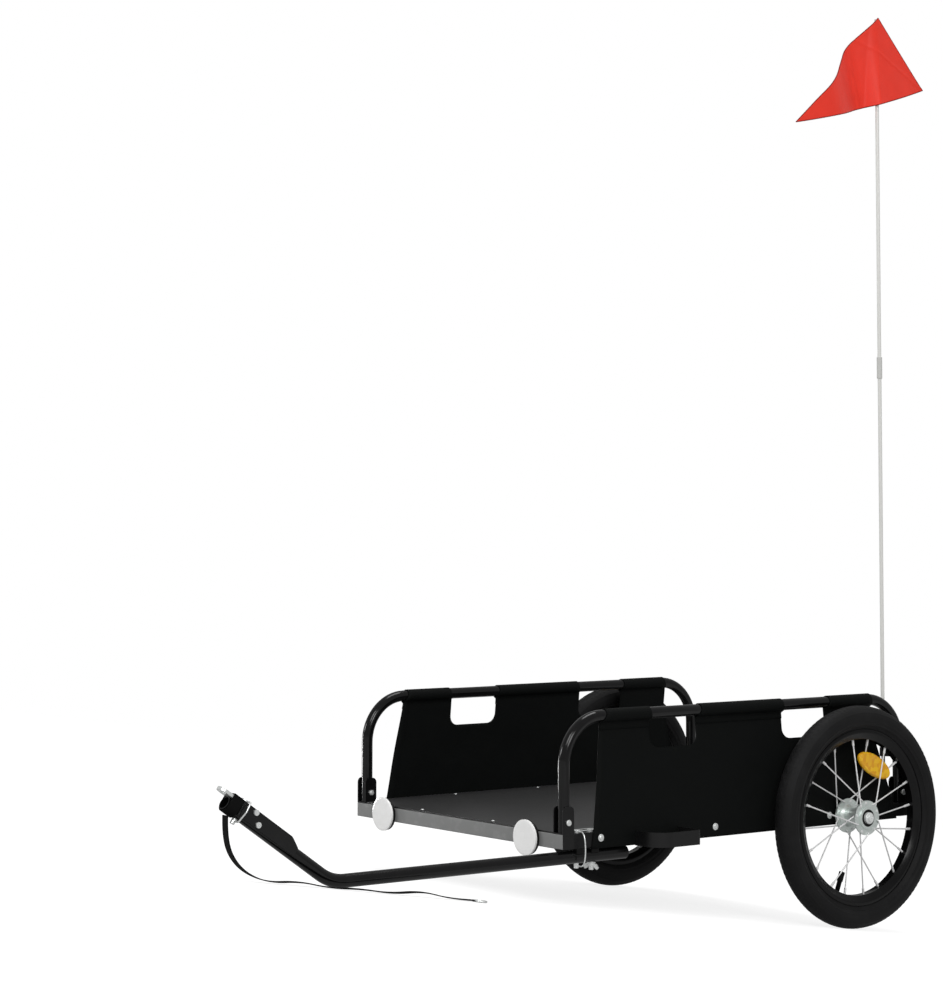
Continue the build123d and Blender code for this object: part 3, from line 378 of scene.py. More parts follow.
@dataclass(frozen=True)
class Woven(Finish):
    """Cloth or webbing, woven in the plane of its UV map, whose units are metres."""

    pitch: float
    lift: float
    sheen: float = 0.0
    coating: float = 0.0
    shine: float = 0.06

    def detail(self, shader: Shader) -> None:
        """Adds the plain weave, its slubs, its small creases and the coating over it.

        Args:
            shader: The finish's material.
        """
        turns = math.pi / self.pitch
        split = shader.node("ShaderNodeSeparateXYZ", {0: shader.place((turns, turns, 1.0), uv=True)})
        along, across = (shader.math("SINE", split.outputs[axis]) for axis in (0, 1))
        weave = shader.spread(shader.math("MULTIPLY", along, across), 0.0, 1.0, start=-1.0)
        place = shader.place()
        slubs = shader.noise(place, lumps=35.0, detail=6.0)
        tone = shader.math("ADD", shader.math("MULTIPLY", weave, 0.35), shader.spread(slubs, 0.0, 0.5))
        creases = shader.bump(shader.noise(place, lumps=18.0, detail=5.0), depth=0.0012)
        shader.set(Base_Color=shader.mix(tone, self.tint(0.8), self.tint(1.35, lift=0.001)),
                   Roughness=self.dulled(shader, slubs, less=0.05, more=0.05),
                   Normal=shader.bump(weave, self.lift, under=creases),
                   Sheen_Weight=self.sheen, Sheen_Roughness=0.5, Coat_Weight=self.coating,
                   Coat_Roughness=0.35, Specular_IOR_Level=self.shine)


@dataclass(frozen=True)
class PrismLens(Finish):
    """A moulded reflector lens: small prisms, in broader patches, behind a smooth skin, with a faint painted
    glow in its own colour.
    """

    prism: float
    depth: float
    glow: float
    contrast: float

    def detail(self, shader: Shader) -> None:
        """Adds the prisms, the clear skin over them and the painted glow.

        Args:
            shader: The finish's material.
        """
        place, fine = shader.place(), 1 / self.prism
        cells = shader.node("ShaderNodeTexVoronoi", {"Vector": place, "Scale": fine, "Randomness": 0.12})
        facets = shader.spread(cells.outputs["Distance"], 0.0, 1.0, end=0.7)
        broad = shader.node("ShaderNodeTexVoronoi", {"Vector": place, "Scale": 0.3 * fine, "Randomness": 0.5})
        patches = shader.spread(broad.outputs["Color"], 0.0, self.contrast, start=0.3, end=0.7)
        tone = shader.math("ADD", shader.math("MULTIPLY", facets, 0.25), patches)
        # Painted shade: the rims of the prism cells take a darker copy of the colour for the shade between
        # the prisms, and the broad patches vary at random.
        prism_shade_colour = tuple(part ** 1.9 for part in self.colour)
        # The lens is no lamp: its emission is a painted glow that stands in for the light it sends back.
        shader.set(Base_Color=shader.mix(tone, self.tint(1.06, lift=0.004), prism_shade_colour),
                   Normal=shader.bump(facets, self.depth), Coat_Weight=0.15, Coat_Roughness=0.05,
                   Emission_Color=self.colour, Emission_Strength=self.glow)


@dataclass(frozen=True)
class GlassFibre(Finish):
    """A pultruded rod: fibres run along it under a thin gel coat."""

    def detail(self, shader: Shader) -> None:
        """Adds the fibres.

        Args:
            shader: The finish's material.
        """
        fibres = shader.noise(shader.place((1.0, 1.0, 0.02)), lumps=1500.0, detail=2.0)
        shader.set(Base_Color=shader.mix(fibres, self.tint(0.86), self.colour),
                   Normal=shader.bump(fibres, depth=0.00003), Coat_Weight=0.3, Coat_Roughness=0.15)


FRAME_PAINT = PowderCoat("gloss black powder coat", (0.0036, 0.0036, 0.0038), 0.13, peel=0.00003, shine=0.32)
RAIL_PAINT = PowderCoat("satin black powder coat", (0.0050, 0.0050, 0.0052), 0.36, shine=0.22)
# The front rail is black paint like the other rails: the grey on its front face is a painted sheen for the
# front lamps' light on it, and its other faces keep the black edge colour.
FRONT_SHEEN_PAINT = PowderCoat("satin grey powder coat", (0.215, 0.218, 0.216), 0.42, shine=0.3,
                         shown=(0.0, -1.0, 0.0))
RIM_PAINT = PowderCoat("black rim enamel", (0.0024, 0.0024, 0.0026), 0.20, peel=0.00003, shine=0.22)
DECK_SHEET = PowderCoat("dark grey deck coat", (0.031, 0.031, 0.0315), 0.42, peel=0.00004, dust=0.10,
                        shown=(0.0, 0.0, 1.0), edge=(0.0024, 0.0024, 0.0024))
TYRE_RUBBER = Rubber("tyre rubber", (0.0080, 0.0080, 0.0083), 0.58)
SEAL_RUBBER = Rubber("seal rubber", (0.004, 0.004, 0.004), 0.5, grains=1500.0)
BLACK_PLASTIC = Plastic("black nylon", (0.0068, 0.0068, 0.0070), 0.34)
GREY_PLASTIC = Plastic("light grey sleeve", (0.60, 0.60, 0.58), 0.4)
ZINC = BareMetal("bright zinc plate", (0.88, 0.90, 0.89), 0.28, metal=0.6, mottle=0.06)
HUB_ZINC = BareMetal("satin zinc plate", (0.80, 0.86, 0.83), 0.34, metal=0.75, mottle=0.05,
                     lines=(1.0, 0.25, 0.25))
SPOKE_WIRE = BareMetal("drawn spoke wire", (0.88, 0.88, 0.88), 0.48, metal=0.35, mottle=0.02,
                       lines=(1.0, 0.2, 0.2))
AXLE_STEEL = BareMetal("polished axle steel", (0.90, 0.92, 0.91), 0.3, metal=0.4, mottle=0.04,
                       lines=(1.0, 0.3, 0.3))
SIDE_CLOTH = Woven("black coated cloth", (0.0036, 0.0042, 0.0040), 0.62, pitch=0.0009, lift=0.00014)
HEM_THREAD = Woven("black hem thread", (0.006, 0.0065, 0.0065), 0.7, pitch=0.0005, lift=0.0001)
FLAG_CLOTH = Woven("orange red flag cloth", (0.93, 0.030, 0.011), 0.5, pitch=0.0007, lift=0.0001,
                   sheen=0.05, coating=0.10, shine=0.3)
FLAG_THREAD = Woven("flag edge thread", (0.20, 0.020, 0.016), 0.7, pitch=0.0005, lift=0.0001)
WEBBING = Woven("black webbing", (0.0045, 0.0046, 0.0046), 0.7, pitch=0.0016, lift=0.0004)
POLE_GEL = GlassFibre("white pole gel coat", (0.80, 0.80, 0.77), 0.34)


class LensColour(Enum):
    """The colours that the reflectors come in."""

    # Each glow is the strength of a painted glow, since the lenses are no lamps.
    CLEAR = PrismLens("clear prism lens", (0.86, 0.86, 0.855), 0.22, prism=0.0028, depth=0.0001,
                      glow=0.08, contrast=0.16)
    RED = PrismLens("red prism lens", (0.50, 0.010, 0.008), 0.2, prism=0.0034, depth=0.0004,
                    glow=0.04, contrast=0.75)
    AMBER = PrismLens("amber prism lens", (0.82, 0.49, 0.003), 0.2, prism=0.0022, depth=0.0006,
                      glow=0.08, contrast=0.7)


# Meshes


def put(name: str, data: bpy.types.ID) -> bpy.types.Object:
    """Adds an object that holds a mesh, a lamp or a camera to the scene.

    Args:
        name: The object's name.
        data: What it holds.

    Returns:
        The object.
    """
    piece = bpy.data.objects.new(name, data)
    bpy.context.scene.collection.objects.link(piece)
    return piece


def smooth(mesh: bpy.types.Mesh, angle: float = SHARP_EDGE) -> None:
    """Shades a mesh smooth, but for edges that turn more than the angle."""
    mesh.shade_smooth()
    mesh.set_sharp_from_angle(angle=angle)


def new_piece(name: str, points: Sequence[Point], faces: Sequence[Sequence[int]],
              flat: Optional[Sequence[Pair]] = None, angle: float = SHARP_EDGE) -> bpy.types.Object:
    """Makes a mesh object at the origin.

    Args:
        name: The object's name.
        points: Its vertices.
        faces: Its faces, as vertex numbers.
        flat: A UV place for each vertex, in metres.
        angle: Edges that turn more than this stay sharp.

    Returns:
        The linked object.
    """
    mesh = bpy.data.meshes.new(name)
    mesh.from_pydata([tuple(point) for point in points], [], [list(face) for face in faces])
    if flat is not None:
        layer = mesh.uv_layers.new(name="UVMap")
        for loop in mesh.loops:
            layer.data[loop.index].uv = flat[loop.vertex_index]
    smooth(mesh, angle)
    return put(name, mesh)


def clean(piece: bpy.types.Object, gap: float = 0.00002) -> bpy.types.Object:
    """Merges vertices within the gap and turns every face of a closed shell outwards.

    Args:
        piece: The piece.
        gap: How near the vertices are that become one.

    Returns:
        The piece.
    """
    work = bmesh.new()
    work.from_mesh(piece.data)
    bmesh.ops.remove_doubles(work, verts=work.verts, dist=gap)
    bmesh.ops.recalc_face_normals(work, faces=work.faces)
    work.to_mesh(piece.data)
    work.free()
    return piece


def apply_modifiers(piece: bpy.types.Object) -> bpy.types.Object:
    """Turns the evaluated piece into a plain mesh without modifiers.

    Args:
        piece: The piece, with its modifiers.

    Returns:
        The piece.
    """
    graph = bpy.context.evaluated_depsgraph_get()
    mesh = bpy.data.meshes.new_from_object(piece.evaluated_get(graph), depsgraph=graph)
    piece.modifiers.clear()
    old = piece.data
    piece.data = mesh
    if old.users == 0:
        bpy.data.meshes.remove(old)
    return piece


def thicken(piece: bpy.types.Object, thickness: float) -> bpy.types.Object:
    """Gives a sheet its thickness, half to each side.

    Args:
        piece: The sheet.
        thickness: The whole thickness.

    Returns:
        The sheet, as a closed shell.
    """
    wall = piece.modifiers.new("thickness", "SOLIDIFY")
    wall.thickness = thickness
    wall.offset = 0.0
    return apply_modifiers(piece)


def settle(piece: bpy.types.Object, turn: Matrix) -> bpy.types.Object:
    """Moves a piece's mesh, so that its object stays at the origin.

    Args:
        piece: The piece.
        turn: The move.

    Returns:
        The piece.
    """
    piece.data.transform(turn)
    piece.data.update()
    return piece


def coat(piece: bpy.types.Object, finish: Finish) -> None:
    """Gives a piece or a CAD node its finish."""
    piece.data.materials.clear()
    piece.data.materials.append(finish.material())


def dress(piece: bpy.types.Object, finish: Finish, body: str = FRAME_BODY) -> bpy.types.Object:
    """Gives a piece its finish and its body.

    Args:
        piece: The piece, in its place.
        finish: What covers it.
        body: The CAD body that it moves with.

    Returns:
        The piece.
    """
    coat(piece, finish)
    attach(piece, body)
    LOG.info("%s: %d faces on %s", piece.name, len(piece.data.polygons), body)
    return piece


def lathe(name: str, outline: Sequence[Pair], steps: int) -> bpy.types.Object:
    """Turns a closed outline of (across, radius) points about the X axis.

    Args:
        name: The object's name.
        outline: The closed section, in order.
        steps: How many copies of the section stand round the axis.

    Returns:
        The ring.
    """
    points = []
    for step in range(steps):
        turn = 2 * math.pi * step / steps
        points += [(across, radius * math.sin(turn), radius * math.cos(turn)) for across, radius in outline]
    return clean(new_piece(name, points, skin(steps, len(outline), looped=True)))


def dome(name: str, outline: Sequence[Pair], steps: int = 20) -> bpy.types.Object:
    """Turns an open outline of (radius, height) points about Z, from the middle of the head down.

    Args:
        name: The object's name.
        outline: The outline, which starts on the axis.
        steps: How many copies of it stand round the axis.

    Returns:
        The head, closed at its foot.
    """
    points: list[Point] = [(0.0, 0.0, outline[0][1])]
    turns = [2 * math.pi * step / steps for step in range(steps)]
    for radius, height in outline[1:]:
        points += [(radius * math.cos(turn), radius * math.sin(turn), height) for turn in turns]
    last = len(points) - steps
    faces = [(0, 1 + step, 1 + (step + 1) % steps) for step in range(steps)]
    faces += [*skin(len(outline) - 1, steps, start=1), tuple(range(last, last + steps))]
    return clean(new_piece(name, points, faces))


def tube_along(name: str, points: Sequence[Point], radius: float, sides: int = 8) -> bpy.types.Object:
    """A round wire along straight runs, closed at its ends.

    Args:
        name: The object's name.
        points: The corners of its middle line.
        radius: Its radius.
        sides: How many flats go round it.

    Returns:
        The wire.
    """
    line = [Vector(point) for point in points]
    rings: list[Vector] = []
    first = (line[1] - line[0]).normalized()
    side = Vector((1, 0, 0)) if abs(first.x) < 0.8 else Vector((0, 1, 0))
    turns = [2 * math.pi * step / sides for step in range(sides)]
    for number, spot in enumerate(line):
        ahead = heading(line, number)
        side = (side - ahead * side.dot(ahead)).normalized()
        up = ahead.cross(side)
        rings += [spot + radius * (math.cos(turn) * side + math.sin(turn) * up) for turn in turns]
    ends = [tuple(range(sides)), tuple(range(len(rings) - sides, len(rings)))]
    return clean(new_piece(name, rings, ends + skin(len(line), sides)))


def heading(line: Sequence[Vector], number: int) -> Vector:
    """The direction of a line at one of its points, from its neighbours."""
    return (line[min(number + 1, len(line) - 1)] - line[max(number - 1, 0)]).normalized()


def joined(name: str, pieces: Sequence[bpy.types.Object]) -> bpy.types.Object:
    """Joins plain meshes into one piece and removes the parts.

    Args:
        name: The piece's name.
        pieces: The parts.

    Returns:
        The whole.
    """
    work = bmesh.new()
    for piece in pieces:
        work.from_mesh(piece.data)
        bpy.data.objects.remove(piece)
    mesh = bpy.data.meshes.new(name)
    work.to_mesh(mesh)
    work.free()
    smooth(mesh)
    return put(name, mesh)


def pan_screw(name: str, radius: float, height: float) -> bpy.types.Object:
    """A domed head with a hexagon socket, on a thin washer, along Z.

    Args:
        name: The object's name.
        radius: The head's radius.
        height: From the seat to the top of the head.

    Returns:
        The screw.
    """
    outline = [(0.0, 0.55), (0.30, 0.55), (0.36, 0.97), (0.62, 1.0), (0.88, 0.78), (1.0, 0.42),
               (1.0, 0.25), (1.55, 0.25), (1.6, 0.15), (1.6, -0.1)]
    return dome(name, [(across * radius, up * height) for across, up in outline])


def rivet(name: str, radius: float) -> bpy.types.Object:
    """A low domed rivet head, along Z."""
    outline = [(0.0, 0.42), (0.35, 0.38), (0.7, 0.26), (0.95, 0.08), (1.0, -0.05)]
    return dome(name, [(across * radius, up * radius) for across, up in outline], 16)


# Geometry Nodes


class Repeater(Nodes):
    """A Geometry Nodes tree under construction, with named inputs."""

    def __init__(self, name: str, inputs: dict[str, tuple[str, object]]) -> None:
        """Starts a tree.

        Args:
            name: The tree's name.
            inputs: For each named input, its socket type and default value.
        """
        super().__init__(bpy.data.node_groups.new(name, "GeometryNodeTree"))
        face = self.tree.interface
        face.new_socket(name="Geometry", in_out="INPUT", socket_type="NodeSocketGeometry")
        for label, (kind, value) in {**inputs, "Material": ("Material", None)}.items():
            socket = face.new_socket(name=label, in_out="INPUT", socket_type="NodeSocket" + kind)
            if value is not None:
                socket.default_value = value
        face.new_socket(name="Geometry", in_out="OUTPUT", socket_type="NodeSocketGeometry")
        self.given = self.tree.nodes.new("NodeGroupInput").outputs

    def copies(self, points: bpy.types.NodeSocket, shape: bpy.types.NodeSocket,
               turn: bpy.types.NodeSocket, **more: Feed) -> bpy.types.NodeTree:
        """Puts copies on points, makes them real, sets their material and closes the tree.

        Args:
            points: Where the copies stand.
            shape: What is copied.
            turn: The copies' rotation.
            more: Other inputs of Instance on Points.

        Returns:
            The finished tree.
        """
        inputs = {"Points": points, "Instance": shape, "Rotation": turn, **more}
        instances = self.node("GeometryNodeInstanceOnPoints", inputs).outputs[0]
        real = self.node("GeometryNodeRealizeInstances", {"Geometry": instances}).outputs[0]
        coated = self.node("GeometryNodeSetMaterial", {"Geometry": real, "Material": self.given["Material"]})
        end = self.tree.nodes.new("NodeGroupOutput")
        self.tree.links.new(coated.outputs[0], end.inputs[0])
        return self.tree


def ring_tree() -> bpy.types.NodeTree:
    """Copies of the given mesh, evenly turned about the X axis.

    Returns:
        The tree.
    """
    repeat = Repeater("ring of copies", {"Count": ("Int", 12), "Phase": ("Float", 0.0)})
    count, phase = repeat.given["Count"], repeat.given["Phase"]
    spots = repeat.node("GeometryNodeMeshLine", {"Count": count, "Offset": (0.0, 0.0, 0.0)})
    index = repeat.node("GeometryNodeInputIndex", {}).outputs[0]
    turn = repeat.math("MULTIPLY", repeat.math("DIVIDE", index, count), -2 * math.pi)
    angles = repeat.node("ShaderNodeCombineXYZ", {0: repeat.math("SUBTRACT", turn, phase)})
    return repeat.copies(spots.outputs[0], repeat.given["Geometry"], angles.outputs[0])


def stitch_tree() -> bpy.types.NodeTree:
    """Short stitches along the edges of the given mesh, each a flattened bead of thread.

    Returns:
        The tree.
    """
    repeat = Repeater("stitch row", {"Pitch": ("Float", 0.004), "Length": ("Float", 0.0028),
                                     "Thickness": ("Float", 0.0005)})
    given = repeat.given
    curve = repeat.node("GeometryNodeMeshToCurve", {"Mesh": given["Geometry"]}).outputs[0]
    points = repeat.node("GeometryNodeCurveToPoints", {"Curve": curve, "Length": given["Pitch"]},
                         mode="LENGTH")
    bead = repeat.node("GeometryNodeMeshUVSphere", {"Segments": 6, "Rings": 4, "Radius": 0.5})
    size = repeat.node("ShaderNodeCombineXYZ", {0: given["Thickness"], 1: given["Thickness"],
                                                2: given["Length"]})
    return repeat.copies(points.outputs[0], bead.outputs[0], points.outputs["Rotation"],
                         Scale=size.outputs[0])


def stud_tree() -> bpy.types.NodeTree:
    """A copy of a chosen object at each vertex, turned so that its Z points outward.

    Returns:
        The tree.
    """
    repeat = Repeater("studs", {"Stud": ("Object", None)})
    stud = repeat.node("GeometryNodeObjectInfo", {"Object": repeat.given["Stud"]})
    outward = repeat.node("GeometryNodeInputNamedAttribute", {"Name": "outward"}, data_type="FLOAT_VECTOR")
    turn = repeat.node("FunctionNodeAlignRotationToVector", {"Vector": outward.outputs[0]}, axis="Z")
    return repeat.copies(repeat.given["Geometry"], stud.outputs["Geometry"], turn.outputs[0])


class Pattern(Enum):
    """The trees that repeat a shape, by name, with what builds each."""

    RING = ("ring of copies", ring_tree)
    STITCHES = ("stitch row", stitch_tree)
    STUDS = ("studs", stud_tree)

    def run(self, piece: bpy.types.Object, finish: Finish, **values: object) -> bpy.types.Object:
        """Runs the tree on a piece and keeps the result as its plain mesh.

        Args:
            piece: The object whose mesh the tree reads.
            finish: What covers the copies.
            values: Values for the tree's other named inputs.

        Returns:
            The piece, with the made mesh.
        """
        name, build = self.value
        tree = bpy.data.node_groups.get(name) or build()
        values["Material"] = finish.material()
        modifier = piece.modifiers.new(name, "NODES")
        modifier.node_group = tree
        for socket in tree.interface.items_tree:
            if socket.in_out == "INPUT" and socket.name in values:
                modifier[socket.identifier] = values[socket.name]
        return apply_modifiers(piece)


def stitch_rows(name: str, rows: Sequence[Sequence[Point]], finish: Finish, pitch: float = 0.0042,
                thickness: float = 0.0006) -> bpy.types.Object:
    """Rows of stitches along broken lines.

    Args:
        name: The piece's name.
        rows: The lines, each a list of points.
        finish: The thread.
        pitch: From stitch to stitch.
        thickness: Of the thread.

    Returns:
        The stitches as one mesh.
    """
    points: list[Point] = []
    edges: list[tuple[int, int]] = []
    for row in rows:
        start = len(points)
        points += [tuple(point) for point in row]
        edges += [(start + step, start + step + 1) for step in range(len(row) - 1)]
    mesh = bpy.data.meshes.new(name)
    mesh.from_pydata(points, edges, [])
    piece = Pattern.STITCHES.run(put(name, mesh), finish, Pitch=pitch, Length=0.7 * pitch,
                                 Thickness=thickness)
    piece.data.shade_smooth()
    return piece


def studs(name: str, places: Sequence[Point], way: Vector, stud: bpy.types.Object,
          finish: Finish) -> bpy.types.Object:
    """Copies of one fastener at several places.

    Args:
        name: The piece's name.
        places: Where the copies stand.
        way: The direction that their heads face.
        stud: The fastener, along Z, which is removed afterwards.
        finish: What covers it.

    Returns:
        All copies as one mesh.
    """
    mesh = bpy.data.meshes.new(name)
    mesh.from_pydata([tuple(place) for place in places], [], [])
    outward = mesh.attributes.new("outward", "FLOAT_VECTOR", "POINT")
    for spot in outward.data:
        spot.vector = way
    piece = Pattern.STUDS.run(put(name, mesh), finish, Stud=stud)
    bpy.data.objects.remove(stud)
    smooth(piece.data)
    return piece


# The trailer's stance, the camera and the light


@dataclass
class Layout:
    """Where the axle line is and how far the trailer is turned nose down about it."""

    frame: dict
    nose_rise: float = math.radians(34.5)
    axle: Vector = field(init=False)
    turn: float = field(init=False)
    park: Matrix = field(init=False)

    def __post_init__(self) -> None:
        """Reads the axle line from a wheel's joint and the turn from the hitch eye's axis."""
        self.axle = Vector((0.0, *self.frame["joints"][0]["pos_m"][1:]))
        eye = next(m for m in self.frame["record"]["mounts"] if m["name"] == "hitch_eye")
        self.turn = self.nose_rise - math.atan2(eye["axis"][1], eye["axis"][2])
        back = Matrix.Translation(Vector((0.0, 0.0, -self.axle.z)))
        self.park = Matrix.Translation(self.axle) @ Matrix.Rotation(self.turn, 4, "X") @ back

    def node(self, name: str) -> bpy.types.Object:
        """A CAD node."""
        return self.frame["nodes"][name]

    def box(self, node: str) -> tuple[Vector, Vector]:
        """The lowest and highest corners of a CAD node, with the trailer level.

        Args:
            node: The node's name.

        Returns:
            Both corners.
        """
        level = self.park.inverted()
        spots = [level @ vertex.co for vertex in self.node(node).data.vertices]
        return tuple(Vector([pick(spot[axis] for spot in spots) for axis in range(3)]) for pick in (min, max))

    def parked(self, x: float, y: float, z: float) -> Vector:
        """A place given with the trailer level, as it stands when it is parked."""
        return self.park @ Vector((x, y, z))


@dataclass
class Viewpoint:
    """The camera, which keeps its place beside the trailer when the trailer is parked."""

    layout: Layout
    place: Point = (3.5758, -3.4254, 0.7508)
    heading: float = math.radians(53.080)
    rise: float = math.radians(-3.956)
    roll: float = math.radians(0.168)
    sensor: float = 36.0
    lens: float = 91.99686
    shift: Pair = (0.0473313, -0.1620141)
    farthest: float = 100.0

    def build(self) -> bpy.types.Object:
        """Makes the camera and gives it to the scene.

        Returns:
            The camera.
        """
        back = Vector((math.sin(self.heading) * math.cos(self.rise),
                       -math.cos(self.heading) * math.cos(self.rise), math.sin(self.rise)))
        right = Vector((0, 0, 1)).cross(back).normalized()
        up = back.cross(right)
        rolled = Matrix((math.cos(self.roll) * right + math.sin(self.roll) * up,
                         math.cos(self.roll) * up - math.sin(self.roll) * right, back)).transposed()
        data = bpy.data.cameras.new("camera")
        data.sensor_width, data.lens, data.clip_end = self.sensor, self.lens, self.farthest
        data.shift_x, data.shift_y = self.shift
        camera = put("camera", data)
        camera.matrix_world = self.layout.park @ Matrix.Translation(Vector(self.place)) @ rolled.to_4x4()
        bpy.context.scene.camera = camera
        return camera


@dataclass(frozen=True)
class Lamp:
    """An upright area lamp that faces a place, and that the camera doesn't see."""

    name: str
    place: Point
    size: Pair
    power: float
    aim: Point = (0.0, 0.1, 0.4)
    spread: float = math.radians(180)
    only_mirrored: bool = False

    def build(self) -> bpy.types.Object:
        """Hangs the lamp.

        Returns:
            The lamp.
        """
        data = bpy.data.lights.new(self.name, "AREA")
        data.shape = "RECTANGLE"
        data.size, data.size_y = self.size
        data.energy, data.spread = self.power, self.spread
        lamp = put(self.name, data)
        place = Vector(self.place)
        way = (Vector(self.aim) - place).to_track_quat("-Z", "Y")
        lamp.matrix_world = Matrix.Translation(place) @ way.to_matrix().to_4x4()
        lamp.visible_camera = False
        lamp.visible_diffuse = not self.only_mirrored
        return lamp


@dataclass
class Studio:
    """The pale floor, the even world and the soft lamps."""

    floor_half: float = 20.0
    floor_tone: float = 0.28
    floor_glow: float = 0.82
    floor_mirrored: float = 0.26
    world_light: float = 0.68
    world_mirrored: float = 0.36
    lamps: Sequence[Lamp] = (
        Lamp("key", (2.6, -3.6, 3.4), size=(1.8, 1.8), power=62.0),
        Lamp("front", (-3.4, -4.2, 1.4), size=(1.0, 1.0), power=46.0),
        Lamp("edge", (-1.0, -0.40, 0.50), size=(0.15, 0.96), power=0.34, aim=(0.29, -0.04, 0.68),
             spread=math.radians(24.0), only_mirrored=True),
        Lamp("mast", (4.4, -1.4, 2.3), size=(1.4, 1.4), power=52.0, aim=(0.3, 0.3, 1.5)),
        Lamp("top", (0.0, 0.4, 3.8), size=(1.6, 1.6), power=34.0),
    )

    def build(self) -> None:
        """Makes the floor, the world and the lamps."""
        self.floor()
        self.world()
        for lamp in self.lamps:
            lamp.build()
        bpy.context.scene.view_settings.view_transform = "Standard"

    def floor(self) -> None:
        """A wide floor that shows white to the camera and still takes the shadow."""
        half = self.floor_half
        corners = [(-half, -half, 0.0), (half, -half, 0.0), (half, half, 0.0), (-half, half, 0.0)]
        floor = new_piece("floor", corners, [(0, 1, 2, 3)])
        shader = Shader("pale floor")
        seen, glossy = shader.rays()
        glow = shader.math("MULTIPLY", seen, self.floor_glow)
        mirrored = shader.math("MULTIPLY", glossy, self.floor_mirrored)
        shader.set(Base_Color=(self.floor_tone,) * 3, Roughness=0.9, Specular_IOR_Level=0.1,
                   Emission_Color=(1.0, 1.0, 1.0), Emission_Strength=shader.math("ADD", glow, mirrored))
        floor.data.materials.append(shader.material)

    def world(self) -> None:
        """An even world: white where it is seen, softer where it is mirrored or only lights."""
        world = bpy.data.worlds.new("even world")
        world.use_nodes = True
        tree, back = Nodes(world.node_tree), world.node_tree.nodes["Background"]
        seen, glossy = tree.rays()
        mirrored = tree.spread(glossy, self.world_light, self.world_mirrored)
        tree.feed(back.inputs["Strength"], tree.math("MAXIMUM", seen, mirrored))
        tree.feed(back.inputs["Color"], (1.0, 1.0, 1.0))
        bpy.context.scene.world = world


# Webbing


@dataclass
class SafetyStrap:
    """The flat strap that hangs from the arm's nose and lies along the floor to its ring."""

    layout: Layout
    width: float = 0.020
    thickness: float = 0.0018
    heading: float = math.radians(9.0)
    rest: float = 0.0013
    lanes: int = 9

    def route(self, top: float) -> list[Pair]:
        """The control points of the strap's line.

        Args:
            top: The height at which the strap starts.

        Returns:
            The points' distances along the floor and their heights.
        """
        rest = self.rest
        return [(0.0, top), (0.003, 0.72 * top), (0.016, 0.38 * top), (0.044, 0.13 * top),
                (0.086, rest), (0.138, rest + 0.006), (0.190, rest), (0.244, rest + 0.003),
                (0.300, rest), (0.354, rest + 0.008), (0.405, rest), (0.446, rest + 0.001)]

    def line(self) -> list[Vector]:
        """The middle line of the strap: a smooth spline with the route as its control points.

        Returns:
            The points of the line.
        """
        shape = self.layout.node("safety_strap").data.vertices
        top = max(vertex.co.z for vertex in shape)
        ends = [vertex.co for vertex in shape if vertex.co.z > top - 0.0004]
        start = sum(ends, Vector()) / len(ends)
        along = Vector((math.sin(self.heading), math.cos(self.heading), 0.0))
        data = bpy.data.curves.new("strap route", "CURVE")
        data.dimensions = "3D"
        data.resolution_u = 16
        spline = data.splines.new("NURBS")
        route = self.route(start.z)
        spline.points.add(len(route) - 1)
        for spot, (far, high) in zip(spline.points, route):
            spot.co = (start.x + along.x * far, start.y + along.y * far, high, 1.0)
        spline.order_u = 3
        spline.use_endpoint_u = True
        holder = bpy.data.objects.new("strap route", data)
        mesh = bpy.data.meshes.new_from_object(holder)
        line = [vertex.co.copy() for vertex in mesh.vertices]
        bpy.data.objects.remove(holder)
        bpy.data.curves.remove(data)
        bpy.data.meshes.remove(mesh)
        return line

    def build(self) -> None:
        line = self.line()
        side = Vector((math.cos(self.heading), -math.sin(self.heading), 0.0))
        shares = between(-0.5, 0.5, self.lanes - 1)
        ring = [(share, 1) for share in shares] + [(share, -1) for share in reversed(shares)]
        points, flat, gone = [], [], 0.0
        for number, spot in enumerate(line):
            if number:
                gone += (spot - line[number - 1]).length
            up = heading(line, number).cross(side).normalized()
            for share, face in ring:
                across = share * self.width
                half_thick = self.thickness * (0.35 + 0.15 * min(1.0, 4 * (0.5 - abs(share))))
                points.append(spot + side * across + up * face * half_thick)
                flat.append((gone, across))
        ends = [tuple(range(len(ring))), tuple(range(len(points) - len(ring), len(points)))]
        strap = clean(new_piece("safety_strap_webbing", points, skin(len(line), len(ring)) + ends, flat))
        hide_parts("safety_strap")
        dress(strap, WEBBING)


# Wheels


class Side(Enum):
    """A side of the trailer, by the sign of its X."""

    LEFT = 1
    RIGHT = -1

    @property
    def word(self) -> str:
        """The side's name, as in the names of the nodes."""
        return self.name.lower()


# The rings round the tyre's sidewall: degrees from the crown, width in degrees, and height.
SIDEWALL_RINGS = ((62.0, 2.0, 0.00055), (104.0, 2.4, 0.00060), (122.0, 3.0, 0.00100))

# One pitch of the tread, as the corners of its blocks: degrees from the crown, and shares of the pitch.
TREAD_BLOCKS = (
    ((-4, 0.05), (4, 0.05), (6, 0.45), (0, 0.62), (-6, 0.45)),
    ((-4, 0.62), (0, 0.74), (4, 0.62), (4, 0.93), (-4, 0.93)),
    ((9, 0.02), (24, 0.16), (24, 0.52), (9, 0.38)),
    ((-9, 0.52), (-24, 0.66), (-24, 1.02), (-9, 0.88)),
    ((9, 0.52), (22, 0.66), (22, 0.94), (9, 0.82)),
    ((-9, 0.02), (-22, 0.16), (-22, 0.42), (-9, 0.32)),
    ((28, 0.10), (42, 0.16), (42, 0.44), (28, 0.38)),
    ((-28, 0.60), (-42, 0.66), (-42, 0.94), (-28, 0.88)),
    ((28, 0.60), (40, 0.66), (40, 0.90), (28, 0.84)),
    ((-28, 0.10), (-40, 0.16), (-40, 0.40), (-28, 0.34)),
)


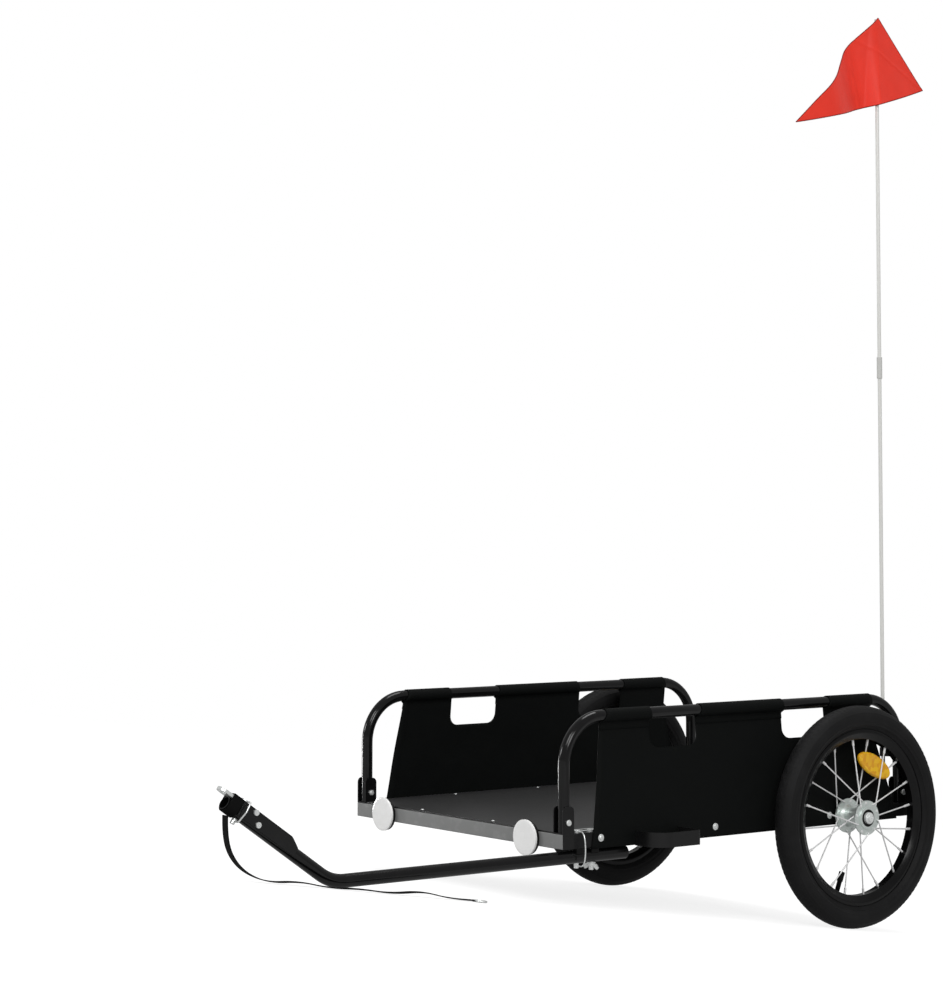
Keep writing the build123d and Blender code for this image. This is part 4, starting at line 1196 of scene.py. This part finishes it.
@dataclass
class Wheel:
    """A spoked wheel, built about the X axis with its outer face towards +X."""

    layout: Layout
    side: Side
    ring_steps: int = 160
    section_half: float = 0.0220
    section_end: float = 128.0
    tread_base: float = 0.0003
    tread_edge: float = 50.0
    tread_pitches: int = 56
    bead_radius: float = 0.1533
    bead_half: float = 0.0112
    rim_lip: float = 0.1585
    rim_seat: float = 0.1530
    rim_inner: float = 0.1400
    rim_half: float = 0.0135
    rim_well: float = 0.0080
    flange_half: float = 0.0230
    flange_thick: float = 0.0030
    elbow_out: float = 0.0269
    elbow_in: float = 0.0202
    elbow_bend: float = 0.0014
    hole_circle: float = 0.0270
    spokes_per_flange: int = 10
    phase: float = math.radians(13.0)
    wire: float = 0.0013
    head: float = 0.0012
    head_stout: float = 1.8
    nipple: float = 0.012
    nipple_stout: float = 1.7
    valve_stout: float = 1.35

    @property
    def body(self) -> str:
        """The CAD body that the wheel is."""
        return self.side.word + "_wheel"

    @property
    def hub(self) -> Vector:
        """The middle of the wheel."""
        return Vector(next(j["pos_m"] for j in self.layout.frame["joints"] if j["child"] == self.body))

    def mount(self, piece: bpy.types.Object, node: str, finish: Finish) -> None:
        """Puts a piece made about the X axis on this wheel's axle, and dresses it.

        Args:
            piece: The piece, with its outer side towards +X.
            node: The end of the name of the CAD node that it replaces, or nothing.
            finish: What covers it.
        """
        if self.side is Side.RIGHT:
            settle(piece, Matrix.Scale(-1, 4, Vector((1, 0, 0))))
            piece.data.flip_normals()
        settle(piece, Matrix.Translation(self.hub) @ Matrix.Rotation(self.layout.turn, 4, "X"))
        if node:
            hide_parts(self.body + node)
        dress(piece, finish, self.body)

    def casing(self, angle: float, proud: float) -> Pair:
        """A point of the tyre's section.

        Args:
            angle: The angle from the crown.
            proud: How far the point stands off the round section.

        Returns:
            Its place across and its radius.
        """
        low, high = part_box(self.body + "_tyre")
        size = self.section_half
        reach = size + proud
        return reach * math.sin(angle), (high.z - low.z) / 2 - size + reach * math.cos(angle)

    def spot(self, angle: float, radius: float, across: float) -> Point:
        """A point at an angle from the top of the wheel, turning to the rear."""
        return across, radius * math.sin(angle), radius * math.cos(angle)

    def tyre(self) -> None:
        """The casing with its sidewall rings and the foot in the rim."""
        half = []
        for turned in between(0.0, self.section_end, 44):
            proud = sum(height * bell(turned, middle, width) for middle, width, height in SIDEWALL_RINGS)
            proud -= self.tread_base / (1 + math.exp((turned - self.tread_edge) / 2.2))
            half.append(self.casing(math.radians(turned), proud))
        half += [(self.bead_half + 0.0014, self.rim_lip + 0.0007), (self.bead_half, self.rim_lip - 0.0010),
                 (self.bead_half, self.bead_radius)]
        piece = lathe(self.body + "_casing", both_sides(half), self.ring_steps)
        self.mount(piece, "_tyre", TYRE_RUBBER)

    def tread(self) -> None:
        """Low blocks round the crown: a ring of one pitch of the pattern."""
        pitch = 2 * math.pi / self.tread_pitches
        levels = ((-self.tread_base - 0.0006, 1.0), (-0.0002, 1.0), (0.0, 0.90))
        points: list[Point] = []
        faces: list[tuple[int, ...]] = []
        for corners in TREAD_BLOCKS:
            start, count = len(points), len(corners)
            middle = [sum(parts) / count for parts in zip(*corners)]
            for proud, size in levels:
                for corner in corners:
                    turned, along = (mid + (part - mid) * size for mid, part in zip(middle, corner))
                    across, radius = self.casing(math.radians(turned), proud)
                    points.append(self.spot(pitch * along, radius, across))
            top = start + (len(levels) - 1) * count
            faces += [*skin(len(levels), count, start), tuple(range(top, top + count)),
                      tuple(range(start, start + count))]
        piece = clean(new_piece(self.body + "_tread", points, faces))
        Pattern.RING.run(piece, TYRE_RUBBER, Count=self.tread_pitches)
        self.mount(piece, "", TYRE_RUBBER)

    def rim(self) -> None:
        """The box rim with rolled lips and a shallow groove inside."""
        half, well, inner = self.rim_half, self.rim_well, self.rim_inner
        lip, shoulder = self.rim_lip, self.rim_seat - 0.0020
        right = [(0.0, inner + 0.0004), (well - 0.002, inner + 0.0002), (well - 0.0006, inner + 0.0001),
                 (well + 0.0006, inner + 0.0011), (half - 0.0010, shoulder - 0.0012),
                 (half - 0.0002, shoulder - 0.0002), (half, shoulder + 0.0008), (half, lip - 0.0008),
                 (half - 0.0004, lip - 0.0002), (half - 0.0010, lip), (half - 0.0016, lip - 0.0002),
                 (half - 0.0020, lip - 0.0008), (half - 0.0020, self.rim_seat)]
        piece = lathe(self.body + "_box_rim", both_sides(right), self.ring_steps)
        self.mount(piece, "_rim", RIM_PAINT)

    def spoke(self, flange: int, face: int) -> bpy.types.Object:
        """One spoke with its elbow, head and nipple, from the hole at angle 0.

        Args:
            flange: The outboard flange (1) or the inboard one (-1).
            face: The flange's face that the elbow lies on: the outer (1) or the inner (-1).

        Returns:
            The spoke.
        """
        pitch = 2 * math.pi / self.spokes_per_flange
        elbow_x = self.elbow_out if face > 0 else self.elbow_in
        seat_x = self.flange_half - face * self.flange_thick / 2
        elbow = Vector(self.spot(0.0, self.hole_circle, flange * elbow_x))
        seat = Vector(self.spot(0.0, self.hole_circle, flange * seat_x))
        end = Vector(self.spot(face * pitch, self.rim_inner + 0.0006, flange * 0.0020))
        run, through = (end - elbow).normalized(), (seat - elbow).normalized()
        curve = [elbow + through * self.elbow_bend * (1 - share) ** 2 + run * self.elbow_bend * share ** 2
                 for share in between(0.0, 1.0, 5)]
        cap = seat.lerp(elbow, -self.head / (seat - elbow).length)
        neck = end - run * self.nipple
        return joined("spoke", [
            tube_along("wire", [seat, *curve, end], self.wire),
            tube_along("head", [seat, cap], self.head_stout * self.wire),
            tube_along("nipple", [neck, neck + run * 0.0015, end], self.nipple_stout * self.wire)])

    def spokes(self) -> None:
        """Four sets of spokes, each a ring of copies of one spoke."""
        pitch = 2 * math.pi / self.spokes_per_flange
        sets = []
        for flange, offset in ((-1, 0.0), (1, 0.5)):
            for number, face in enumerate((1, -1)):
                sets.append(Pattern.RING.run(self.spoke(flange, face), SPOKE_WIRE,
                                             Count=self.spokes_per_flange // 2,
                                             Phase=self.phase + (number + offset) * pitch))
        self.mount(joined(self.body + "_wire_spokes", sets), "_spokes", SPOKE_WIRE)

    def valve(self) -> None:
        """The valve's moulded rubber sleeve and cap, a little stouter than the stem inside it."""
        stem = self.layout.node(self.body + "_valve")
        piece = clean(put(self.body + "_valve_sleeve", stem.data.copy()))
        vertices = piece.data.vertices
        middle = sum((vertex.co for vertex in vertices), Vector()) / len(vertices)
        axis = (middle - self.hub).normalized()
        for vertex in vertices:
            off = vertex.co - middle
            along = axis * off.dot(axis)
            vertex.co = middle + along + (off - along) * self.valve_stout
        smooth(piece.data)
        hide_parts(stem.name)
        dress(piece, SEAL_RUBBER, self.body)

    def build(self) -> None:
        """Makes the wheel's pieces and finishes its CAD nodes."""
        for make in (self.tyre, self.tread, self.rim, self.spokes, self.valve):
            make()
        finishes = {"hub": HUB_ZINC, "hub_seal": SEAL_RUBBER, "spoke_reflector": LensColour.AMBER.value}
        for name, finish in finishes.items():
            coat(self.layout.node(self.body + "_" + name), finish)


# Cloth sides


class Sheet:
    """A sheet under construction: rows of vertices, each with its place on the flat cloth."""

    def __init__(self, side: Side) -> None:
        """Starts a sheet.

        Args:
            side: The trailer's side that it hangs on.
        """
        self.side = side
        self.work = bmesh.new()
        self.layer = self.work.loops.layers.uv.new("UVMap")
        self.flat: dict[bmesh.types.BMVert, Pair] = {}

    def vertex(self, x: float, y: float, z: float, gone: float) -> bmesh.types.BMVert:
        """Adds a vertex.

        Args:
            x: How far it stands out to its side.
            y: Its Y, here and on the flat cloth.
            z: Its height.
            gone: Its other place on the flat cloth, measured up and round it.

        Returns:
            The vertex.
        """
        made = self.work.verts.new((self.side.value * x, y, z))
        self.flat[made] = (y, gone)
        return made

    def fill(self, rows: Sequence[Sequence[bmesh.types.BMVert]]) -> None:
        """Adds the faces between rows, which look outboard.

        Args:
            rows: Rows of as many vertices each, from the front to the rear, one above the other.
        """
        for below, above in zip(rows, rows[1:]):
            for corners in zip(below, below[1:], above[1:], above):
                self.work.faces.new(corners[::self.side.value]).smooth = True

    def finish(self, name: str) -> tuple[bpy.types.Object, float]:
        """Makes the sheet a piece.

        Args:
            name: The piece's name.

        Returns:
            The piece and its area.
        """
        for face in self.work.faces:
            for loop in face.loops:
                loop[self.layer].uv = self.flat[loop.vert]
        area = sum(face.calc_area() for face in self.work.faces)
        mesh = bpy.data.meshes.new(name)
        self.work.to_mesh(mesh)
        self.work.free()
        return put(name, mesh), area


class SleeveRow(NamedTuple):
    """A row of a sleeve's cloth.

    It stands `off` the panel's line, or at `x` where it goes round the tube, and its ends are
    gathered in by the share `tucked`.
    """

    z: float
    off: float = 0.0
    x: Optional[float] = None
    tucked: float = 0.0


@dataclass
class SideCloth:
    """A cloth side: sleeves round the hoop's top tube, and a panel outside the rail."""

    layout: Layout
    side: Side
    thickness: float = 0.0011
    clearance: float = 0.0004
    fold_gap: float = 0.0002
    hem: float = 0.003
    front_slope: float = 0.032
    front_trim: float = 0.002
    rear_step: float = 0.055
    rear_spare: float = 0.007
    shoulder: float = 0.045
    gather: float = 0.005
    lap: float = 0.014
    lap_start: float = 0.004
    neck: float = math.radians(250.0)
    wrap: float = math.radians(320.0)
    gap_start: float = 0.105
    gap_end: float = 0.2135
    gap_depth: float = 0.060
    gap_corner: float = 0.018
    bend: float = 0.082
    column: float = 0.011
    slack: float = 0.0016
    stitch_inset: float = 0.008
    stitch_beside: float = 0.005
    stitch_end: float = 0.004
    stitch_high: float = 0.0065
    stitch_low: float = 0.0025
    stitch_step: float = 0.004
    screws_ahead: tuple[float, ...] = (0.586, 0.322, 0.038)
    screws_up: float = 0.002

    def __post_init__(self) -> None:
        """Reads the hoop's and the rail's places from the frame."""
        low, high = self.layout.box("side_hoop_" + self.side.word)
        rail_low, rail_high = self.layout.box("side_rail_" + self.side.word)
        self.tube_r = (high.x - low.x) / 2
        self.tube_x = (abs(high.x) + abs(low.x)) / 2
        self.tube_z = high.z - self.tube_r
        front, rear = low.y + self.tube_r, high.y - self.tube_r
        self.middle = (front + rear) / 2
        self.half = (rear - front) / 2 - self.bend
        self.rail_face = max(abs(rail_low.x), abs(rail_high.x)) + self.clearance + self.thickness / 2
        self.rail_top = rail_high.z
        self.foot = rail_low.z - self.hem
        self.gap_foot = self.tube_z - self.gap_depth
        self.reach = self.tube_r + self.clearance + self.thickness / 2
        self.hang_x = self.tube_x + self.reach * math.cos(self.neck)
        self.hang_z = self.tube_z + self.reach * math.sin(self.neck)

    def front_edge(self, height: float) -> float:
        """Y of the sloping front edge at a height.

        Args:
            height: The height.

        Returns:
            The Y.
        """
        top = self.tube_z + self.tube_r
        share = max(0.0, (top - height) / (top - self.foot))
        return self.middle - self.half + self.front_trim - (self.front_slope + self.front_trim) * share

    def rear_edge(self, height: float) -> float:
        """Y of the rear edge at a height, which slopes back below its shoulder.

        Args:
            height: The height.

        Returns:
            The Y.
        """
        top = self.tube_z - self.shoulder
        share = held((top - height) / (top - self.foot))
        return self.middle + self.half + self.rear_spare + self.rear_step * share

    def placed(self, y: float, height: float) -> float:
        """Y of a column of the cloth at a height: its two ends take up the slope of the edges.

        Args:
            y: The column's Y on the sleeves.
            height: The height.

        Returns:
            The Y at that height.
        """
        offset = y - self.middle
        share = max(0.0, (abs(offset) - self.gap_end) / (self.half - self.gap_end))
        if offset < 0:
            return y + share * (self.front_edge(height) - self.middle + self.half)
        return y + share * (self.rear_edge(height) - self.middle - self.half)

    def across(self, y: float, height: float) -> float:
        """X of the panel's middle at a place, with the slack of stretched cloth.

        Args:
            y: The place's Y.
            height: Its height.

        Returns:
            The X, as on the left side.
        """
        if height <= self.rail_top:
            return self.rail_face
        share = min(1.0, (height - self.rail_top) / (self.hang_z - self.rail_top))
        slack = self.slack * math.sin(math.pi * share) ** 2
        wave = 0.6 * math.sin(17.0 * y + 4.0 * height) + 0.4 * math.sin(41.0 * y - 23.0 * height + 1.0)
        pull = 0.35 * math.sin(9.0 * y + 0.6)
        return self.rail_face + (self.hang_x - self.rail_face) * share + slack * (wave + pull + 0.9)

    def sleeves(self) -> list[Pair]:
        """The ends of the three sleeves, from the middle of the hoop."""
        return [(-self.half, -self.gap_end), (-self.gap_start, self.gap_start), (self.gap_end, self.half)]

    def gaps(self) -> list[Pair]:
        """The ends of the two gaps between the sleeves."""
        return [(-self.gap_end, -self.gap_start), (self.gap_start, self.gap_end)]

    def columns(self) -> list[float]:
        """Y of the cloth's columns, which meet the sleeves' ends and follow the gaps' round corners.

        Returns:
            The columns, from front to rear.
        """
        knots = [0.0]
        for start, end in [*self.sleeves(), *self.gaps()]:
            knots += between(start, end, max(3, round((end - start) / self.column)))
        for start, end in self.gaps():
            for part in (0.33, 0.67, 1.0):
                knots += [start + self.gap_corner * part, end - self.gap_corner * part]
        return sorted({round(self.middle + knot, 6) for knot in knots})

    def sleeve_path(self) -> list[SleeveRow]:
        """The rows above the gap's foot, from the panel round the tube and back down over the panel.

        Returns:
            The rows, in order.
        """
        rise = self.gap_corner
        turns = between(0.0, math.pi / 2, 8)
        path = [SleeveRow(self.gap_foot + rise * (1 - math.cos(turn))) for turn in turns]
        path += [SleeveRow(z) for z in between(self.gap_foot + rise, self.hang_z, 4)[1:]]
        for share in between(0.0, 1.0, 32)[1:]:
            angle = self.neck - self.wrap * share
            path.append(SleeveRow(self.tube_z + self.reach * math.sin(angle),
                                  x=self.tube_x + self.reach * math.cos(angle),
                                  tucked=min(1.0, 4.0 * share, 4.0 * (1.0 - share))))
        over = between(self.hang_z - self.lap_start, self.hang_z - self.lap, 2)
        return path + [SleeveRow(z, off=self.thickness + self.fold_gap) for z in over]

    def sleeve(self, sheet: Sheet, base: dict[float, bmesh.types.BMVert], start: float, end: float) -> None:
        """Adds one sleeve to the sheet.

        Args:
            sheet: The sheet, up to the gap's foot.
            base: Its top row, by column.
            start: The sleeve's front end, from the middle of the hoop.
            end: Its rear end.
        """
        foremost, rearmost = start <= -self.half, end >= self.half
        first, last = self.middle + start, self.middle + end
        low_first = first - (0.0 if foremost else self.gap_corner) - 1e-5
        low_last = last + (0.0 if rearmost else self.gap_corner) + 1e-5
        chosen = [y for y in base if low_first <= y <= low_last]
        shares = [(y - chosen[0]) / (chosen[-1] - chosen[0]) for y in chosen]
        rows = [[base[y] for y in chosen]]
        before, gone = (self.across(first, self.gap_foot), self.gap_foot), self.gap_foot - self.tube_z
        for row in self.sleeve_path()[1:]:
            drop = max(0.0, self.gap_corner - (row.z - self.gap_foot)) if row.x is None else 0.0
            cut = self.gap_corner - math.sqrt(self.gap_corner ** 2 - drop ** 2)
            gathered = self.gather * row.tucked
            front = (self.front_edge(row.z) if foremost else first - cut) + gathered
            rear = (self.rear_edge(row.z) if rearmost else last + cut) - gathered
            here = (self.across(first, row.z) + row.off if row.x is None else row.x, row.z)
            gone += math.dist(before, here)
            before = here
            line = []
            for y in (front + (rear - front) * share for share in shares):
                x = self.across(y, row.z) + row.off if row.x is None else row.x
                line.append(sheet.vertex(x, y, row.z, gone))
            rows.append(line)
        sheet.fill(rows)

    def panel(self) -> None:
        """The whole cloth as one sheet with thickness."""
        sheet, columns = Sheet(self.side), self.columns()
        rows = []
        for z in between(self.foot, self.gap_foot, 26):
            places = [self.placed(column, z) for column in columns]
            rows.append([sheet.vertex(self.across(y, z), y, z, z - self.tube_z) for y in places])
        sheet.fill(rows)
        base = dict(zip(columns, rows[-1]))
        for start, end in self.sleeves():
            self.sleeve(sheet, base, start, end)
        piece, area = sheet.finish(self.side.word + "_side_cloth")
        settle(thicken(piece, self.thickness), self.layout.park)
        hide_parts("side_fabric_" + self.side.word)
        dress(piece, SIDE_CLOTH)

    def on_panel(self, y: float, height: float, proud: float = 0.0) -> Vector:
        """A place on the panel's outer face, parked."""
        x = self.across(y, height) + self.thickness / 2 + proud
        return self.layout.parked(self.side.value * x, y, height)

    def stitches(self) -> None:
        """Rows of thread inside the free edges, under the sleeves and round the gaps."""
        inset, corner, beside = self.stitch_inset, self.gap_corner, self.stitch_beside
        low, high = self.foot + inset, self.hang_z - self.lap
        heights = between(low, high, 40)
        rows = [[self.on_panel(self.front_edge(z) + inset, z) for z in heights],
                [self.on_panel(self.rear_edge(z) - inset, z) for z in heights]]
        first, last, step = self.front_edge(low) + inset, self.rear_edge(low) - inset, self.stitch_step
        count = int((last - first) / step) + 1
        rows.append([self.on_panel(first + step * spot, low) for spot in range(count)])
        for height in (self.hang_z - self.stitch_high, high + self.stitch_low):
            for start, end in self.sleeves():
                ys = between(self.middle + start + self.stitch_end, self.middle + end - self.stitch_end, 30)
                rows.append([self.on_panel(y, height, self.thickness + self.fold_gap) for y in ys])
        for start, end in self.gaps():
            first, last = self.middle + start, self.middle + end
            row = [(first - beside, high)]
            for y, turn in ((first + corner, math.pi), (last - corner, 1.5 * math.pi)):
                row += [(y + (corner + beside) * math.cos(angle),
                         self.gap_foot + corner + (corner + beside) * math.sin(angle))
                        for angle in between(turn, turn + math.pi / 2, 9)]
            row.append((last + beside, high))
            rows.append([self.on_panel(y, z) for y, z in row])
        dress(stitch_rows(self.side.word + "_side_stitches", rows, HEM_THREAD), HEM_THREAD)

    def screws(self) -> None:
        """Pan-head screws through the panel into the rail, each on a washer."""
        height = self.layout.axle.z + self.screws_up
        places = [self.on_panel(-ahead, height) for ahead in self.screws_ahead]
        piece = studs(self.side.word + "_side_screws", places, Vector((self.side.value, 0.0, 0.0)),
                      pan_screw("side screw", radius=0.0039, height=0.0024), ZINC)
        dress(piece, ZINC)

    def build(self) -> None:
        """Makes the panel, its stitches and its screws."""
        for make in (self.panel, self.stitches, self.screws):
            make()


# Deck


@dataclass
class Deck:
    """The deck's rivets, on the rails that carry it."""

    layout: Layout
    pitch: float = 0.204
    inset: float = 0.0135
    end_rivets: Pair = (-0.115, 0.0895)
    head: float = 0.0034

    def build(self) -> None:
        """Makes the rivets as one piece."""
        low, high = self.layout.box("deck_panel")
        across = high.x - self.inset
        first, last = low.y + self.inset, high.y - self.inset
        ys = between(first, last, round((last - first) / self.pitch))
        rows = [(side * across, y) for side in (-1, 1) for y in ys[2:-1]]
        rows += [(-across, ys[1]), *[(x, y) for y in (first, last) for x in self.end_rivets]]
        places = [self.layout.parked(x, y, high.z) for x, y in rows]
        up = (self.layout.park.to_3x3() @ Vector((0, 0, 1))).normalized()
        dress(studs("deck_rivets", places, up, rivet("rivet", self.head), ZINC), ZINC)


# Lock pin


@dataclass
class LockPinWires:
    """The bent wires of the arm's lock: the bail round the rail, and the loop to the pivot bolt."""

    layout: Layout
    wire: float = 0.00125
    loop_wire: float = 0.0008
    loop_gap: float = 0.0002
    squareness: float = 0.42

    def build(self) -> None:
        """Makes the bail and the loop."""
        low, high = self.layout.box("lock_pin_bail")
        self.bail(low, high)
        self.loop(high.z)

    def bail(self, low: Vector, high: Vector) -> None:
        """A squarish half hoop, open to the pin, that fills the box of its CAD node.

        Args:
            low: The box's lowest corner.
            high: Its highest corner.
        """
        top, foot = high.z - self.wire, low.z + self.wire
        inner, outer = low.x + self.wire, high.x - self.wire
        line = []
        for turn in between(math.pi / 2, -math.pi / 2, 40):
            out = max(0.0, math.cos(turn)) ** self.squareness
            up = (top + foot) / 2 + (top - foot) / 2 * math.sin(turn)
            line.append(self.layout.parked(inner + (outer - inner) * out, (low.y + high.y) / 2, up))
        bail = tube_along("lock_pin_bail_wire", line, self.wire, 10)
        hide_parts("lock_pin_bail")
        dress(bail, ZINC)

    def loop(self, height: float) -> None:
        """A long thin ring at a height, round the heads of the pin and the pivot bolt.

        Args:
            height: The height.
        """
        low, high = self.layout.box("lock_pin")
        bolt_low, bolt_high = self.layout.box("pivot_bolt")
        middle = (low.x + high.x) / 2
        reach = (high.x - low.x) / 2 + self.loop_wire + self.loop_gap
        line = []
        for centre, start in (((low.y + high.y) / 2, math.pi), ((bolt_low.y + bolt_high.y) / 2, 0.0)):
            for turn in between(start, start + math.pi, 12):
                x, y = middle + reach * math.cos(turn), centre + reach * math.sin(turn)
                line.append(self.layout.parked(x, y, height))
        dress(tube_along("lock_pin_loop_wire", [*line, line[0]], self.loop_wire), ZINC)


# Flag


@dataclass
class Flag:
    """The pennant: a three-cornered cloth with a fold down its long end."""

    layout: Layout
    thickness: float = 0.0010
    above_pole: float = 0.0019
    rear: float = 0.122
    rear_drop: float = 0.127
    tip: float = 0.225
    tip_drop: float = 0.221
    sleeve_start: float = 0.010
    sleeve_end: float = 0.160
    lean: float = 0.20
    bulge: float = 0.0065
    swing: float = 0.060
    hem: float = 0.0009
    pole_hold: float = 0.020
    fold_soft: float = 0.015
    swell_start: float = 0.100
    swell_soft: float = 0.021
    crease_down: float = 0.066
    crease_slope: float = 0.50
    crease_squeeze: float = 0.89
    crease_soft: float = 0.004
    ridge: float = 0.0007
    crest: float = 0.0012
    ripple: float = 0.0006
    folds: Sequence[Pair] = ((-1.0, 0.0), (0.010, 0.0), (0.064, -0.028), (0.138, 0.020),
                             (0.226, -0.004), (1.0, -0.004))

    def __post_init__(self) -> None:
        """Reads the pole's place and the flag's top from the frame, and sets the corners."""
        low, high = self.layout.box("flag_pole_upper")
        self.pole_x, self.pole_y = (low.x + high.x) / 2, (low.y + high.y) / 2
        self.pole_r = (high.x - low.x) / 2
        self.top = high.z + self.above_pole
        self.corners = ((0.0, 0.0), (-self.rear, self.rear_drop), (self.tip, self.tip_drop))

    def fold_line(self, ahead: float) -> float:
        """How far the leading edge stands outboard: straight runs between a fold and a swell.

        Args:
            ahead: The distance ahead of the pole.

        Returns:
            The distance outboard.
        """
        for (left, low), (right, high) in zip(self.folds, self.folds[1:]):
            if ahead <= right:
                return low + (high - low) * (ahead - left) / (right - left)
        return 0.0

    def wave(self, ahead: float, down: float) -> float:
        """How far the cloth stands outboard.

        Args:
            ahead: The distance ahead of the pole.
            down: The distance below the flag's top.

        Returns:
            The folds, softened, plus the lower part that swings out below a crease, and two ridges.
        """
        along = ahead + self.lean * max(0.0, down - ahead * self.tip_drop / self.tip)
        free = held(ahead / self.pole_hold)
        soft = self.fold_soft if along < self.swell_start else self.swell_soft
        shifts = between(-soft, soft, 8)
        folded = sum(self.fold_line(along + shift) for shift in shifts) / len(shifts)
        below = (down - self.crease_down + self.crease_slope * ahead) * self.crease_squeeze
        hung = self.swing * (math.hypot(max(below, 0.0), self.crease_soft) - self.crease_soft)
        ridge = self.ridge * bell(below, 0.0, 0.0026)
        crest = self.crest * bell(along, 0.062, 0.0028) * held((down - 0.07) / 0.03)
        return folded * free + hung * (1 - 0.6 * free) + ridge + crest

    def sag(self, ahead: float) -> float:
        """How far the lower edge hangs below a straight line at a distance ahead of the pole."""
        return self.bulge * math.sin(math.pi * held((self.rear + ahead) / (self.rear + self.tip))) ** 0.8

    def spot(self, ahead: float, down: float) -> Vector:
        """A place on the flag, parked.

        Args:
            ahead: The distance ahead of the pole.
            down: The distance below the flag's top.

        Returns:
            The place.
        """
        ripple = self.ripple * (1 + math.sin(60.0 * ahead + 38.0 * down))
        x = self.pole_x + self.pole_r + self.thickness / 2 + self.wave(ahead, down) + ripple
        return self.layout.parked(x, self.pole_y - ahead, self.top - down)

    def build(self) -> None:
        """Makes the cloth, its hems and the sleeve on the pole."""
        rows, columns = 90, 120
        _, rear, tip = self.corners
        points, flat = [], []
        for share in between(0.0, 1.0, rows):
            for way in between(0.0, 1.0, columns):
                ahead, down = (share * (back + (front - back) * way) for back, front in zip(rear, tip))
                down += share ** 3 * self.sag(ahead / share if share else 0.0)
                points.append(self.spot(ahead, down))
                flat.append((ahead, down))
        starts = [row * (columns + 1) + column for row in range(rows) for column in range(columns)]
        faces = [(here, here + 1, here + columns + 2, here + columns + 1) for here in starts]
        piece = clean(new_piece("flag_cloth", points, faces, flat, math.pi))
        thicken(piece, self.thickness)
        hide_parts("flag")
        dress(piece, FLAG_CLOTH)
        self.hems()
        self.sleeve()

    def hems(self) -> bpy.types.Object:
        """A narrow dark binding along each edge of the flag.

        Returns:
            The bindings as one piece.
        """
        strips = []
        for start, end in zip(self.corners, (*self.corners[1:], self.corners[0])):
            lower = start[1] > 0 and end[1] > 0
            line = []
            for share in between(0.0, 1.0, 60):
                ahead, down = (here + (there - here) * share for here, there in zip(start, end))
                line.append(self.spot(ahead, down + (self.sag(ahead) if lower else 0.0)))
            strips.append(tube_along("hem", line, self.hem, 6))
        return dress(joined("flag_hems", strips), FLAG_THREAD)

    def sleeve(self) -> bpy.types.Object:
        """The narrow pocket that slips over the tip of the pole.

        Returns:
            The pocket.
        """
        line = [self.layout.parked(self.pole_x, self.pole_y, self.top - down)
                for down in between(self.sleeve_start, self.sleeve_end, 16)]
        piece = tube_along("flag_sleeve", line, self.pole_r + self.hem, 16)
        return dress(piece, FLAG_CLOTH)


# Everything that keeps its CAD shape


@dataclass
class FrameFinish:
    """The finishes of the CAD nodes that show as they are."""

    layout: Layout

    def build(self) -> None:
        """Coats each node, where a name that ends in _* stands for a left and a right one."""
        groups: dict[Finish, list[str]] = {
            FRAME_PAINT: ["tow_arm", "hoop_brackets", "hitch_channel", "axle_tube", "cross_rails",
                          "side_hoop_*", "axle_socket_*"],
            RAIL_PAINT: ["rear_rail", "side_rail_*"],
            FRONT_SHEEN_PAINT: ["front_rail"],
            DECK_SHEET: ["deck_panel"],
            BLACK_PLASTIC: ["side_guards", "front_reflector_bases", "rear_reflector_bases",
                            "flag_pole_holders"],
            SEAL_RUBBER: ["tow_arm_pads"],
            ZINC: ["hoop_bolts", "lock_pin", "pivot_bolt", "wing_nut", "hitch_bolts",
                   "hitch_tongue", "hitch_pin", "hitch_pin_bail", "strap_ring"],
            AXLE_STEEL: ["axle_*"],
            WEBBING: ["strap_loop"],
            POLE_GEL: ["flag_pole_lower", "flag_pole_upper"],
            GREY_PLASTIC: ["flag_pole_ferrule"],
            LensColour.CLEAR.value: ["front_reflectors"],
            LensColour.RED.value: ["rear_reflectors"],
        }
        for finish, names in groups.items():
            nodes = sorted({name.replace("*", side.word) for name in names for side in Side})
            for node in nodes:
                coat(self.layout.node(node), finish)
            LOG.info("%s on %d nodes", finish.name, len(nodes))


def main() -> None:
    """Builds the looks in order."""
    logging.basicConfig(level=logging.INFO, format="%(name)s: %(message)s")
    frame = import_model()
    layout = Layout(frame)
    Viewpoint(layout).build()
    SafetyStrap(layout).build()
    Studio().build()
    FrameFinish(layout).build()
    for side in Side:
        Wheel(layout, side).build()
        SideCloth(layout, side).build()
    for kind in (Deck, LockPinWires, Flag):
        kind(layout).build()


if __name__ == "__main__":
    main()
